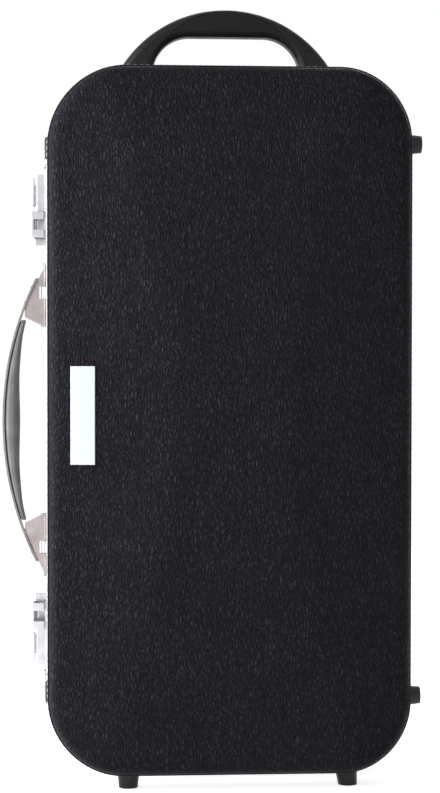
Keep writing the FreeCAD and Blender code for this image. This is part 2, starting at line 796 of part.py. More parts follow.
pins = [rod(f"hinge_pin_{way}", "z", (f"{way} * hinge_rise - hinge_length / 2",
                                      f"{way} * hinge_rise + hinge_length / 2"),
            (PIN_X, "0"), "hinge_pin") for way in (1, -1)]
piece(group("hinge_pin_set", *pins), "hinge_pins")

# Bumpers: two low domes on the lid's left-hand wall.
bumpers = []
for way, word in ((1, "upper"), (-1, "lower")):
    disc = rod(f"{word}_bumper_disc", "x", ("0", "bumper_height"), ("0", "0"), "bumper_radius")
    dome = fillet(f"{word}_bumper", disc, size("bumper_round"),
                  lambda edge: middle(edge).x > size("bumper_height") / 2
                  and edge.BoundBox.XLength < 1e-3)
    bumpers.append(move(dome, SIDE, f"{WELT_LOW} - bumper_radius - welt_play",
                        f"{way} * bumper_rise"))
# The lid's own right is the case's left once the lid is turned round.
piece(group("bumper_pair", *bumpers), "side_bumpers", True)

# Badge: a plain plate bonded to the lid's left-hand facet.
plate = soft_box("badge", ("-badge_width / 2", "badge_width / 2"), ("0", "badge_thickness"),
                 ("-badge_length / 2", "badge_length / 2"), size("badge_thickness") * 0.4)
turn(plate, V(0, 0, 1), "-facet_angle")
badge_x = "(case_width / 2 - badge_margin)"
facet_fall = f"({badge_x} - panel_half_width) * tan(facet_angle)"
badge_group = group("badge_on_facet", plate)
move(plate, badge_x, f"lid_depth - {facet_fall}", "badge_rise")
piece(badge_group, "badge_plate", True)


def outward(low, high):
    """The x span of a piece that stands out from the left-hand skirts."""
    return (f"-{SKIRT} - ({high})", f"-{SKIRT} - ({low})")


def latch_box(name, out, y, z):
    return box(name, outward(*out), y, z)


def beyond(height):
    """A test for edges further out from the left-hand skirts than a height."""
    limit = size("case_width") / 2 + size("skirt_proud") + height
    return lambda edge: middle(edge).x < -limit


# Latches on the left-hand skirts. Each has a plate riveted to the base frame with a folded
# tab, two ears and a low wall between them, a swinging hasp on a pin through the ears, and
# a housing with a sliding button; a plate with two noses on the lid frame takes the
# hasp's fingers.
EAR_LOW = "(latch_inner_end + latch_tab + hasp_gap)"
EAR_TOP = f"({EAR_LOW} + hasp_length)"
HOUSING_LOW = f"({EAR_TOP} + hasp_gap * 2)"
HOUSING_TOP = f"({HOUSING_LOW} + housing_length)"
LATCH_Y = ("latch_setback", "base_skirt - hasp_gap")
HASP_TOP = "(hasp_pin_height + hasp_barrel)"
PIN_OUT = f"-({SKIRT}) - hasp_pin_height"

latch_plate = latch_box("latch_plate_blank", ("0", "latch_plate"), LATCH_Y,
                        ("latch_inner_end", HOUSING_TOP))
end_tab = latch_box("latch_end_tab", ("0", f"{HASP_TOP} - hasp_thickness"), LATCH_Y,
                    ("latch_inner_end", "latch_inner_end + latch_tab"))
end_tab = fillet("latch_end_tab_soft", end_tab, size("latch_tab_round"),
                 beyond(size("hasp_pin_height") * 3 / 4))
ears = []
for k, low in enumerate((EAR_LOW, f"({EAR_TOP} - ear_length)")):
    zone = (low, f"{low} + ear_length")
    stem = latch_box(f"latch_ear_stem_{k}", ("0", "hasp_pin_height"),
                     ("hasp_pin_depth - hasp_barrel", "hasp_pin_depth + hasp_barrel"), zone)
    eye = rod(f"latch_ear_eye_{k}", "z", zone, (PIN_OUT, "hasp_pin_depth"), "hasp_barrel")
    ears += [stem, eye]
ears.append(latch_box("latch_ear_wall", ("0", "hasp_pin_height - hasp_barrel - hasp_gap"),
                      ("hasp_pin_depth - hasp_barrel - latch_plate",
                       "hasp_pin_depth - hasp_barrel"),
                      (EAR_LOW, EAR_TOP)))
hasp_bore = rod("latch_ear_bore", "z", (f"{EAR_LOW} - 1", f"{EAR_TOP} + 1"),
                (PIN_OUT, "hasp_pin_depth"), "hasp_pin_radius")
plate_rivets = [rivet(f"latch_rivet_{k}", "base_left", -1, "latch_plate", "hasp_pin_depth", where)
                for k, where in enumerate((f"{EAR_LOW} + hasp_length / 2",
                                           f"{HOUSING_TOP} - housing_wall - rivet_head * 2"))]
latch_base = cut("latch_base", fuse("latch_base_whole", latch_plate, end_tab, *ears),
                 hasp_bore, *plate_rivets)
piece(latch_base, "latch_plate_upper")
latch_pin = rod("latch_pin", "z", (EAR_LOW, EAR_TOP), (PIN_OUT, "hasp_pin_depth"),
                "hasp_pin_radius")

# Hasp: a barrel on the pin, a cover over the ears and two fingers round the noses.
BARREL = (f"{EAR_LOW} + ear_length + hasp_gap / 2", f"{EAR_TOP} - ear_length - hasp_gap / 2")
COVER_OUT = (f"{HASP_TOP} - hasp_thickness", HASP_TOP)
hasp_barrel = rod("hasp_barrel_rod", "z", BARREL, (PIN_OUT, "hasp_pin_depth"), "hasp_barrel")
hasp_web = latch_box("hasp_web", ("hasp_pin_height", HASP_TOP),
                     ("hasp_pin_depth - hasp_barrel - hasp_gap * 2", "hasp_pin_depth"), BARREL)
COVER_Z = (f"({EAR_LOW} + hasp_inset)", f"({EAR_TOP} - hasp_inset)")
ear_edge = "hasp_pin_depth - hasp_barrel - hasp_gap"
hasp_cover = latch_box("hasp_cover", COVER_OUT, ("-hasp_reach", ear_edge), COVER_Z)
hasp_cover = fillet("hasp_cover_soft", hasp_cover, size("hasp_round"),
                    beyond(size("hasp_pin_height") + size("hasp_barrel")
                           - size("hasp_thickness") / 4))
NOSE_LENGTH = "(ear_length - hasp_gap)"
FINGER_ZONES = ((COVER_Z[0], f"{COVER_Z[0]} + {NOSE_LENGTH}"),
                (f"{COVER_Z[1]} - {NOSE_LENGTH}", COVER_Z[1]))
fingers = [latch_box(f"hasp_finger_{k}", ("hasp_finger_drop", COVER_OUT[0]),
                     ("-hasp_reach", "hasp_finger - hasp_reach"), zone)
           for k, zone in enumerate(FINGER_ZONES)]
running_bore = rod("hasp_running_bore", "z", (f"{EAR_LOW} - 1", f"{EAR_TOP} + 1"),
                   (PIN_OUT, "hasp_pin_depth"), "hasp_pin_radius + running_play")
hasp = cut("hasp_form", fuse("hasp_whole", hasp_barrel, hasp_web, hasp_cover, *fingers),
           running_bore)
piece(hasp, "hasp_upper")

# Catch plate on the lid's skirt, with a nose for each finger.
NOSE_TOP = "(hasp_reach - hasp_finger - catch_play)"
catch_plate = latch_box("catch_plate_blank", ("0", "latch_plate"),
                        ("joint_gap - lid_skirt", "-latch_margin"), COVER_Z)
noses = [latch_box(f"catch_nose_{k}", ("latch_plate", "catch_height"),
                   (f"-{NOSE_TOP}", f"catch_nose - {NOSE_TOP}"), zone)
         for k, zone in enumerate(FINGER_ZONES)]
catch_rivets = [rivet(f"catch_rivet_{word}", "lid_left", -1, "latch_plate",
                      f"(catch_nose - {NOSE_TOP} - latch_margin) / 2",
                      f"{EAR_LOW} + hasp_length / 2 + {way} * ear_length")
                for way, word in ((1, "high"), (-1, "low"))]
catch = cut("catch_form", fuse("catch_whole", catch_plate, *noses), *catch_rivets)
piece(catch, "catch_plate_upper")

# Housing of the sliding button: a pressed box with a slot in its outer wall.
HOUSING_Y = (f"{LATCH_Y[0]} + housing_inset", f"{LATCH_Y[1]} - housing_inset")
BUTTON_Y = f"({LATCH_Y[0]} + {LATCH_Y[1]}) / 2"
housing_block = latch_box("housing_block", ("latch_plate", "housing_height"), HOUSING_Y,
                          (HOUSING_LOW, f"{HOUSING_TOP} - housing_inset"))
housing_soft = fillet("housing_soft", housing_block, size("housing_inset"),
                      beyond(size("housing_height") * 3 / 4))
CAVITY_LOW = f"({HOUSING_LOW} + housing_wall)"
CAVITY_TOP = f"({HOUSING_TOP} - housing_inset - housing_wall)"
cavity = latch_box("housing_cavity", ("latch_plate - 1", "housing_height - housing_wall"),
                   (f"{HOUSING_Y[0]} + housing_wall", f"{HOUSING_Y[1]} - housing_wall"),
                   (CAVITY_LOW, CAVITY_TOP))
STEM_LOW = f"({HOUSING_LOW} + slide_stem_start)"
STEM_TOP = f"({STEM_LOW} + slide_stem_length)"
stem_room = latch_box("housing_slot", ("latch_plate", "housing_height + 1"),
                      (f"{BUTTON_Y} - slide_stem_width / 2 - slide_play",
                       f"{BUTTON_Y} + slide_stem_width / 2 + slide_play"),
                      (f"{STEM_LOW} - slide_play", f"{STEM_TOP} + slide_travel + slide_play"))
piece(cut("housing", housing_soft, cavity, stem_room), "latch_housing_upper")

# Sliding button: a heel inside the housing, a stem through the slot and a thumb plate.
HEEL_TOP = f"({CAVITY_TOP} - spring_room)"
HEEL_OUT = "latch_plate + rivet_head_height + slide_play"
heel = latch_box("slide_heel", (HEEL_OUT, "housing_height - housing_wall - slide_play"),
                 (f"{HOUSING_Y[0]} + housing_wall + slide_play",
                  f"{HOUSING_Y[1]} - housing_wall - slide_play"),
                 (f"{CAVITY_LOW} + slide_play", HEEL_TOP))
stem = latch_box("slide_stem", (HEEL_OUT, "housing_height + slide_lift * 3 / 2"),
                 (f"{BUTTON_Y} - slide_stem_width / 2", f"{BUTTON_Y} + slide_stem_width / 2"),
                 (STEM_LOW, STEM_TOP))
THUMB_OUT = ("housing_height + slide_lift", "housing_height + slide_lift + slide_thickness")
THUMB_LOW = f"({HOUSING_LOW} + slide_setback)"
thumb = latch_box("slide_thumb", THUMB_OUT, HOUSING_Y,
                  (THUMB_LOW, f"{THUMB_LOW} + slide_length"))
thumb = fillet("slide_thumb_soft", thumb, size("slide_round"), lambda edge: True)
nub = latch_box("slide_nub", (f"{THUMB_OUT[1]} - slide_nub", f"{THUMB_OUT[1]} + slide_nub"),
                (f"{HOUSING_Y[0]} + slide_round * 2", f"{HOUSING_Y[1]} - slide_round * 2"),
                (f"{THUMB_LOW} + slide_length - slide_nub_length",
                 f"{THUMB_LOW} + slide_length - slide_round"))
nub = fillet("slide_nub_soft", nub, size("slide_round"),
             beyond(size("housing_height") + size("slide_lift") + size("slide_thickness")
                    + size("slide_nub") / 2))
piece(fuse("slide", heel, stem, thumb, nub), "slide_button_upper")

# Return spring of the button.
coil = doc.addObject("Part::Helix", "spring_coil")
bind(coil, {"Radius": "spring_radius", "Pitch": "spring_pitch",
            "Height": "spring_room - spring_wire * 2"})
wire_ring = doc.addObject("Part::Circle", "spring_wire_ring")
bind(wire_ring, {"Radius": "spring_wire"})
turn(wire_ring, V(1, 0, 0), "90")
move(wire_ring, "spring_radius")
winding = doc.addObject("Part::Sweep", "spring_winding")
winding.Sections = [wire_ring]
winding.Spine = (coil, [])
winding.Solid = True
winding.Frenet = True
move(winding, f"-({SKIRT}) - (latch_plate + housing_height - housing_wall) / 2", BUTTON_Y,
     f"{HEEL_TOP} + spring_wire")
spring = group("spring", winding)
piece(spring, "latch_spring_upper")

# Rings for a shoulder strap, each held to the base's skirt by a folded plate.
RING_OUT = "(anchor_thickness + anchor_play + ring_wire)"
RING_X = f"-({SKIRT}) - {RING_OUT}"
FOLD = "(ring_wire + anchor_play + anchor_thickness)"
RING_Y = f"(anchor_start + {FOLD})"
ANCHOR_Z = ("ring_rise - anchor_length / 2", "ring_rise + anchor_length / 2")
anchor_plate = latch_box("anchor_plate", ("0", "anchor_thickness"),
                         ("anchor_start", "base_skirt - hasp_gap"), ANCHOR_Z)
anchor_fold = rod("anchor_fold", "z", ANCHOR_Z, (RING_X, RING_Y), FOLD)
anchor_bore = rod("anchor_bore", "z", (f"{ANCHOR_Z[0]} - 1", f"{ANCHOR_Z[1]} + 1"),
                  (RING_X, RING_Y), "ring_wire + running_play")
anchor_rivet = rivet("anchor_rivet", "base_left", -1, "anchor_thickness",
                     f"{RING_Y} + {FOLD} + rivet_head + anchor_play", "ring_rise")
anchor = cut("anchor", fuse("anchor_whole", anchor_plate, anchor_fold), anchor_bore,
             anchor_rivet)
piece(group("anchors", anchor, mirror("anchor_lower", anchor, V(0, 0, 1))), "strap_anchors")

ring_ends = [f"(ring_rise {sign} (ring_width / 2 - ring_wire))" for sign in "-+"]
FAR_Y = f"({RING_Y} + ring_reach)"
wires = [rod(f"ring_bar_{k}", "z", ring_ends, (RING_X, y), "ring_wire")
         for k, y in enumerate((RING_Y, FAR_Y))]
wires += [rod(f"ring_leg_{k}", "y", (RING_Y, FAR_Y), (RING_X, z), "ring_wire")
          for k, z in enumerate(ring_ends)]
for k, (y, z) in enumerate((y, z) for y in (RING_Y, FAR_Y) for z in ring_ends):
    corner = doc.addObject("Part::Sphere", f"ring_corner_{k}")
    bind(corner, {"Radius": "ring_wire"})
    wires.append(move(corner, RING_X, y, z))
piece(fuse("ring_loop", *wires), "strap_ring_upper")

# Carrying handle on the left: a sprung strip in a long bow, a soft grip under it and a
# bracket under each end that swings on a pin through a lug on the base's skirt.
AXIS_X = f"-({SKIRT}) - handle_axis_height"
BOW_X = f"-({SKIRT}) - handle_rise + handle_bow_radius"
HALF_THICK = "bracket_thickness / 2"
BRACKET_Y = (f"handle_depth - {HALF_THICK}", f"handle_depth + {HALF_THICK}")
STRIP_Y = ("handle_depth - strip_width / 2", "handle_depth + strip_width / 2")
GRIP_Y = ("handle_depth - grip_width", "handle_depth + grip_width")


def bow(name, y_span, depth):
    """The round of the handle's bow at a depth under its outer face."""
    return rod(name, "y", y_span, (BOW_X, "0"), f"handle_bow_radius - ({depth})")


def out_x(text):
    return f"-({SKIRT}) - ({text})"


bow_zone = box("strip_zone", (out_x("handle_rise + 1"), out_x("0")),
               STRIP_Y, ("-strip_end", "strip_end"))
strip_whole = cut("strip_whole", common("strip_disc", bow("strip_outer", STRIP_Y, "0"), bow_zone),
                  bow("strip_inner", GRIP_Y, "strip_thickness"))
FOOT_RISE = "(bracket_corner - bracket_foot) * handle_axis_height / bracket_reach"
bracket_points = [
    (out_x("handle_axis_height"), f"bracket_foot + {FOOT_RISE}"),
    (out_x("bracket_reach"), "bracket_corner"),
    (out_x("bracket_reach"), "bracket_tip"),
    (out_x("handle_axis_height"), "bracket_tip"),
]
bracket_web = common("bracket_web", polygon("bracket_plate", bracket_points, *BRACKET_Y),
                     bow("bracket_round", GRIP_Y, "strip_thickness"))
bracket_edge = rod("bracket_edge", "z", (f"bracket_foot + {FOOT_RISE}", "bracket_tip"),
                   (AXIS_X, "handle_depth"), HALF_THICK)
lug_zone = ("lug_rise - lug_length / 2", "lug_rise + lug_length / 2")
lug_room = box("lug_room", (out_x("handle_axis_height + lug_window"), out_x("-1")), GRIP_Y,
               (f"{lug_zone[0]} - lug_play", f"{lug_zone[1]} + lug_play"))
pin_span = ("lug_rise - handle_pin_half", "lug_rise + handle_pin_half")
pin_bore = rod("handle_pin_bore", "z", (pin_span[0], "bracket_tip + 1"),
               (AXIS_X, "handle_depth"), "handle_pin")
handle_pin = rod("handle_pin_rod", "z", pin_span, (AXIS_X, "handle_depth"), "handle_pin")
strip_screws = []
strip_drills = []
for k in range(2):
    rise = f"(strip_screw_rise + {k} * strip_screw_pitch)"
    tilt = f"asin({rise} / handle_bow_radius)"
    spot = (f"{tilt} - 90 deg", f"{BOW_X} - handle_bow_radius * cos({tilt})", "handle_depth", rise)
    shank = rod(f"strip_screw_shank_{k}", "z", ("-strip_screw_length", "0"), ("0", "0"),
                "strip_screw_shank")
    head = rod(f"strip_screw_head_{k}", "z", ("-strip_screw_proud / 2", "strip_screw_proud"),
               ("0", "0"), "strip_screw_head")
    whole = stand(fuse(f"strip_screw_{k}", shank, head), *spot)
    strip_screws.append(whole)
bracket = cut("bracket", fuse("bracket_whole", bracket_web, bracket_edge), lug_room, pin_bore,
              *strip_screws)
lower_screws = mirror("strip_screws_lower", group("strip_screws_upper", *strip_screws),
                      V(0, 0, 1))
piece(bracket, "side_handle_bracket_upper")
strip = cut("strip", strip_whole, *strip_screws, lower_screws)
piece(strip, "side_handle_strip")
piece(group("strip_screw_set", *strip_screws, lower_screws), "side_handle_screws")
piece(group("handle_pin_pair", handle_pin, mirror("handle_pin_lower", handle_pin, V(0, 0, 1))),
      "side_handle_pins")
lug_root = box("lug_root_block", (out_x("lug_neck / 2"), out_x("0")),
               ("handle_depth - lug_root", "handle_depth + lug_root"), lug_zone)
lug_neck = box("lug_neck_block", (out_x("handle_axis_height"), out_x("0")),
               ("handle_depth - lug_neck", "handle_depth + lug_neck"), lug_zone)
lug_knuckle = rod("lug_knuckle_rod", "z", lug_zone, (AXIS_X, "handle_depth"), "lug_knuckle")
lug_bore = rod("lug_bore", "z", (f"{lug_zone[0]} - 1", f"{lug_zone[1]} + 1"),
               (AXIS_X, "handle_depth"), "handle_pin + running_play")
lug = cut("lug", fuse("lug_whole", lug_root, lug_neck, lug_knuckle), lug_bore)
piece(group("lug_pair", lug, mirror("lug_lower", lug, V(0, 0, 1))), "side_handle_lugs")

# The grip's sections, from its lower end to its upper end.
sections = []
for k, (rise, thickness, width) in enumerate((
        ("-grip_end_rise", "grip_end", "grip_end_width"),
        ("-grip_waist_rise", "grip_waist", "(grip_width + grip_end_width) / 2"),
        ("0", "grip_middle", "grip_width"),
        ("grip_waist_rise", "grip_waist", "(grip_width + grip_end_width) / 2"),
        ("grip_end_rise", "grip_end", "grip_end_width"))):
    ellipse = doc.addObject("Part::Ellipse", f"grip_section_{k}")
    bind(ellipse, {"MajorRadius": f"{width} / 2", "MinorRadius": f"({thickness} + grip_seat) / 2"})
    turn(ellipse, V(0, 0, 1), "90")
    bow_face = f"{BOW_X} - sqrt((handle_bow_radius - strip_thickness) ^ 2 - ({rise}) ^ 2)"
    move(ellipse, f"{bow_face} + ({thickness} - grip_seat) / 2", "handle_depth", rise)
    sections.append(ellipse)
grip_loft = doc.addObject("Part::Loft", "grip_loft")
grip_loft.Sections = sections
grip_loft.Solid = True
piece(common("grip", grip_loft, bow("grip_round", GRIP_Y, "strip_thickness")),
      "side_handle_grip")

# Frames, with the rivets' holes, the base's tongue and the seal's groove.
lid_channel = turn(group("lid_channel_turned", HALVES["lid"]["frame"]), V(0, 0, 1), "180")
base_channel = fuse("base_channel_tongued", HALVES["base"]["frame"], tongue)
for half, channel, cuts in (("lid", lid_channel, []), ("base", base_channel, [groove])):
    left = frame_cuts[half + "_left"]
    lower = mirror(f"{half}_left_holes_lower", group(f"{half}_left_holes", *left), V(0, 0, 1))
    piece(cut(f"{half}_frame_drilled", channel, *cuts, *frame_cuts[half], *left, lower),
          f"{half}_frame")
    left = group(f"{half}_left_rivets", *rivets[half + "_left"])
    lower = mirror(f"{half}_left_rivets_lower", left, V(0, 0, 1))
    piece(group(f"{half}_rivet_set", *rivets[half], left, lower), f"{half}_rivets")
piece(group("latch_pin_pair", latch_pin, mirror("latch_pin_lower", latch_pin, V(0, 0, 1))),
      "hasp_pins")

# Lining of the base: a foam bed in the crown, a surround on it and blocks that part it
# into bays for the joints of the bassoon. The lid has a pad on a foam filling.
SHELL_INSIDE = "-(shell_wall + lining_play)"
BLOCK_EDGE = f"({FRAME_INSIDE} + surround_play)"
piece(crowned_block("bed", SHELL_INSIDE, "bed_top", "base_depth - shell_wall - lining_play",
                    SHELL_EDGE), "foam_bed")
piece(crowned_block("lid_fill", SHELL_INSIDE, "lid_pad_top + lid_pad_thickness + lining_play",
                    "lid_depth - shell_wall - lining_play", SHELL_EDGE, -1), "lid_foam", True)
piece(rounded_block("lid_pad_block", f"-{BLOCK_EDGE}", "lid_pad_top",
                    "lid_pad_top + lid_pad_thickness", -1), "lid_pad", True)
BLOCK_Y = ("block_top", "bed_top - lining_play")
block = rounded_block("surround_block", f"-{BLOCK_EDGE}", *BLOCK_Y)
LEFT_BAY = f"({BLOCK_EDGE} + edge_bolster - case_width / 2)"
bays = {}
edge = LEFT_BAY
for bay, width in (("wing", "wing_joint_width"), ("long", "long_joint_width"),
                   ("boot", "boot_joint_width")):
    bays[bay] = (edge, f"({edge} + {width})")
    edge = f"({edge} + {width} + divider)"
bays["bell"] = (edge, f"-{LEFT_BAY}")
MIDDLE_HALF = f"({TOP} - {BLOCK_EDGE} - end_bolster)"
DEEP_Y = ("block_top - 1", "bed_top + 1")
side_bays = box("side_bays", (LEFT_BAY, f"-{LEFT_BAY}"), DEEP_Y,
                ("-side_bay_half", "side_bay_half"))
middle_bays = box("middle_bays", (bays["long"][0], bays["boot"][1]), DEEP_Y,
                  (f"-{MIDDLE_HALF}", MIDDLE_HALF))
piece(cut("surround", block, side_bays, middle_bays), "insert_surround")
parting = []
for before, after, half_length in (("wing", "long", "side_bay_half"),
                                   ("long", "boot", MIDDLE_HALF),
                                   ("boot", "bell", "side_bay_half")):
    parting.append(box(f"divider_{before}", (bays[before][1], bays[after][0]), BLOCK_Y,
                       (f"surround_play - {half_length}", f"{half_length} - surround_play")))
piece(group("divider_set", *parting), "insert_dividers")
ends = []
for bay, top, length in (("wing", "side_bay_half", "wing_joint_length"),
                         ("boot", MIDDLE_HALF, "boot_joint_length"),
                         ("bell", "side_bay_half", "bell_length")):
    low, high = bays[bay]
    ends.append(box(f"end_block_{bay}", (f"{low} + surround_play", f"{high} - surround_play"),
                    BLOCK_Y, (f"{top} - {length} - end_block", f"{top} - {length}")))
piece(group("end_block_set", *ends), "insert_end_blocks")

# The lower latch, strap ring and handle bracket mirror the upper ones.
by_label = {item.Label: item for item in pieces}
for label in ("latch_plate", "hasp", "catch_plate", "latch_housing", "slide_button",
              "latch_spring", "strap_ring", "side_handle_bracket"):
    twin(by_label[label + "_upper"], label + "_lower")

doc.recompute()
for item in doc.Objects:
    if "Invalid" in item.State or "Error" in item.State:
        raise SystemExit(f"{item.Name} did not rebuild: {item.getStatusString()}")
for item in pieces:
    if item.Shape.isNull() or not item.Shape.isValid() or not item.Shape.Solids:
        raise SystemExit(f"{item.Label} has no valid solid")

os.makedirs("parts", exist_ok=True)
for item in pieces:
    item.Shape.exportStep(f"parts/{item.Label}.step")
print(len(pieces), "pieces written")
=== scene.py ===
import math

import bmesh
import bpy
import numpy as np
from mathutils import Matrix, Vector, noise


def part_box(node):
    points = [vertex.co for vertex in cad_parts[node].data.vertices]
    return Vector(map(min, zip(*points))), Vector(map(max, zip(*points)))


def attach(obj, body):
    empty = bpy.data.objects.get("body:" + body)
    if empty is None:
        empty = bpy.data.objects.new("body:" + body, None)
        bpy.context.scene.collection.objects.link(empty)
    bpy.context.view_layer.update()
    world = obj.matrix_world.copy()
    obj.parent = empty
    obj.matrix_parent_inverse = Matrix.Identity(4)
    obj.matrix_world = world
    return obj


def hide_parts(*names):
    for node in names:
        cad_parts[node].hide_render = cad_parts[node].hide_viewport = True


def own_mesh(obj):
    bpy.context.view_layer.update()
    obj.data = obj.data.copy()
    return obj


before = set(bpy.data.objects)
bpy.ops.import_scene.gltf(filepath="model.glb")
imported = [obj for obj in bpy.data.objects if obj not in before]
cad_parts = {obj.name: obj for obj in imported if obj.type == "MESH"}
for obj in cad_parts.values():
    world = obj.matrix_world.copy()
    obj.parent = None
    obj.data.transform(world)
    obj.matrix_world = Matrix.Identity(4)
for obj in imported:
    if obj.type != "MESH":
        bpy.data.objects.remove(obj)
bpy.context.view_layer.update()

MM = 0.001
scene = bpy.context.scene

# The view. The photograph was taken from a little to the left, at the height of the case's
# middle, with a long lens. Its centre sits up and to the left of the shells' centre.
SHELL_MIDDLE = Vector((15.85, -8, 332.75)) * MM
AZIMUTH = math.radians(-3.9)
ELEVATION = math.radians(1.3)
ROLL = math.radians(0.05)
DISTANCE = 1.829
AIM_RIGHT = -6.9 * MM
AIM_UP = 21.6 * MM
toward = Vector((math.sin(AZIMUTH) * math.cos(ELEVATION),
                 -math.cos(AZIMUTH) * math.cos(ELEVATION), math.sin(ELEVATION)))
facing = toward.to_track_quat("Z", "Y")
right, up = facing @ Vector((1, 0, 0)), facing @ Vector((0, 1, 0))
lens = bpy.data.cameras.new("photo_camera")
lens.lens = 90
lens.sensor_width = 36
camera = bpy.data.objects.new("photo_camera", lens)
scene.collection.objects.link(camera)
camera.location = SHELL_MIDDLE + right * AIM_RIGHT + up * AIM_UP + toward * DISTANCE
camera.rotation_mode = "QUATERNION"
camera.rotation_quaternion = facing @ Matrix.Rotation(ROLL, 4, "Z").to_quaternion()
scene.camera = camera
scene.view_settings.view_transform = "Standard"


# Materials. Every finish is a small tree of procedural nodes in the object's own metres.
def rgb(code):
    """A colour from its sRGB hex code, in linear light."""
    parts = [int(code[k:k + 2], 16) / 255 for k in (0, 2, 4)]
    return [c / 12.92 if c <= 0.04045 else ((c + 0.055) / 1.055) ** 2.4 for c in parts] + [1.0]


def add(tree, kind, links=None, **settings):
    """Add a node, set its properties, and link or set its inputs."""
    made = tree.nodes.new(kind)
    for key, value in settings.items():
        setattr(made, key, value)
    for key, value in (links or {}).items():
        if isinstance(value, bpy.types.NodeSocket):
            tree.links.new(value, made.inputs[key])
        else:
            made.inputs[key].default_value = value
    return made


def place(tree, scale=(1, 1, 1), turn=(0, 0, 0)):
    """The object's coordinates, stretched or turned for a pattern that has a grain."""
    spot = add(tree, "ShaderNodeTexCoord").outputs["Object"]
    return add(tree, "ShaderNodeMapping", {"Vector": spot, "Scale": scale,
                                           "Rotation": turn}).outputs[0]


def cloud(tree, spot, size_mm, detail=3.0, rough=0.55):
    """Soft noise whose lumps are about a given size."""
    return add(tree, "ShaderNodeTexNoise", {"Vector": spot, "Scale": 1 / (size_mm * MM),
                                            "Detail": detail, "Roughness": rough}).outputs[0]


def cells(tree, spot, size_mm, feature="F1"):
    """Cell noise: the distance to a cell's middle, or to its edge."""
    return add(tree, "ShaderNodeTexVoronoi", {"Vector": spot, "Scale": 1 / (size_mm * MM)},
               feature=feature).outputs["Distance"]


def spread(tree, value, low, high, to_low=0.0, to_high=1.0):
    """Stretch a value from one span to another."""
    return add(tree, "ShaderNodeMapRange", {"Value": value, "From Min": low, "From Max": high,
                                            "To Min": to_low, "To Max": to_high}).outputs[0]


def maths(tree, what, one, two):
    return add(tree, "ShaderNodeMath", {0: one, 1: two}, operation=what).outputs[0]


def blend_colour(tree, share, one, two):
    """Mix two colours, each a hex code or a socket."""
    ends = [rgb(end) if isinstance(end, str) else end for end in (one, two)]
    return add(tree, "ShaderNodeMix", {0: share, 6: ends[0], 7: ends[1]},
               data_type="RGBA").outputs[2]


def bump(tree, height, depth_mm, under=None):
    """Relief of a real depth, on top of another relief if one is given."""
    links = {"Height": height, "Distance": depth_mm * MM, "Strength": 1.0}
    if under is not None:
        links["Normal"] = under
    return add(tree, "ShaderNodeBump", links).outputs[0]


def soft_edge(tree, radius_mm):
    """The slightly broken edges of a worked piece, which catch the light."""
    return add(tree, "ShaderNodeBevel", {"Radius": radius_mm * MM}, samples=6).outputs[0]


def finish(name, build):
    """A material from a function that gives its shader's inputs."""
    made = bpy.data.materials.new(name)
    made.use_nodes = True
    tree = made.node_tree
    tree.nodes.clear()
    shader = add(tree, "ShaderNodeBsdfPrincipled", build(tree))
    add(tree, "ShaderNodeOutputMaterial", {"Surface": shader.outputs[0]})
    return made


def leather(name, dark, light, pebble_mm, depth_mm, roughness, shine):
    """Embossed leather: long pebbles parted by creases, over soft upright wrinkles, with painted
    highlight on the pebble tops and painted shade in the creases.
    """
    def build(tree):
        spot = place(tree, (1, 1, 0.4))
        drift = add(tree, "ShaderNodeTexNoise", {"Vector": spot, "Scale": 150.0,
                                                 "Detail": 3.0}).outputs[1]
        sway = add(tree, "ShaderNodeVectorMath", {0: drift, 1: (pebble_mm * MM * 1.6,) * 3},
                   operation="MULTIPLY").outputs[0]
        warped = add(tree, "ShaderNodeVectorMath", {0: spot, 1: sway}).outputs[0]
        pebble = spread(tree, cells(tree, warped, pebble_mm, "DISTANCE_TO_EDGE"), 0, 0.32)
        small = spread(tree, cells(tree, warped, pebble_mm * 0.42, "DISTANCE_TO_EDGE"), 0, 0.4)
        wrinkle = cloud(tree, place(tree, (1, 1, 0.22)), pebble_mm * 1.8, 4.0, 0.65)
        height = maths(tree, "ADD", maths(tree, "MULTIPLY", pebble, 0.7),
                       maths(tree, "ADD", maths(tree, "MULTIPLY", small, 0.5),
                             maths(tree, "MULTIPLY", wrinkle, 1.6)))
        stain = cloud(tree, place(tree), 60)
        fibre = spread(tree, cloud(tree, place(tree, (1, 1, 0.3)), 1.5, 2.0), 0.36, 0.66)
        # The colour is lighter on the pebble tops and darker down in the creases: painted
        # highlight and painted crease shade.
        crest_highlight_crease_shade = maths(tree, "MULTIPLY", maths(tree, "MULTIPLY", pebble, fibre),
                      spread(tree, small, 0, 1, 0.45, 1))
        tone = maths(tree, "MULTIPLY", spread(tree, crest_highlight_crease_shade, 0, 1, 0.1, 1),
                     spread(tree, stain, 0.3, 0.7, 0.8, 1))
        return {"Base Color": blend_colour(tree, tone, dark, light),
                "Roughness": spread(tree, maths(tree, "ADD", pebble, stain), 0.4, 1.6,
                                    roughness + 0.14, roughness - 0.05),
                "Specular IOR Level": shine, "Normal": bump(tree, height, depth_mm)}
    return finish(name, build)


def metal(name, tone, shade, roughness, grain=(1, 1, 1), pit_mm=0.4, edge_mm=0.5):
    """Satin metal, with a grain along its long way and faint handling marks."""
    def build(tree):
        streak = cloud(tree, place(tree, grain), pit_mm, 5.0, 0.7)
        mark = cloud(tree, place(tree), 14, 6.0, 0.65)
        rough = maths(tree, "ADD", spread(tree, streak, 0.3, 0.7, roughness - 0.05,
                                          roughness + 0.06),
                      spread(tree, mark, 0.45, 0.75, 0.0, 0.12))
        return {"Base Color": blend_colour(tree, spread(tree, mark, 0.35, 0.75), tone, shade),
                "Metallic": 1.0, "Roughness": rough,
                "Normal": bump(tree, streak, 0.012, soft_edge(tree, edge_mm))}
    return finish(name, build)


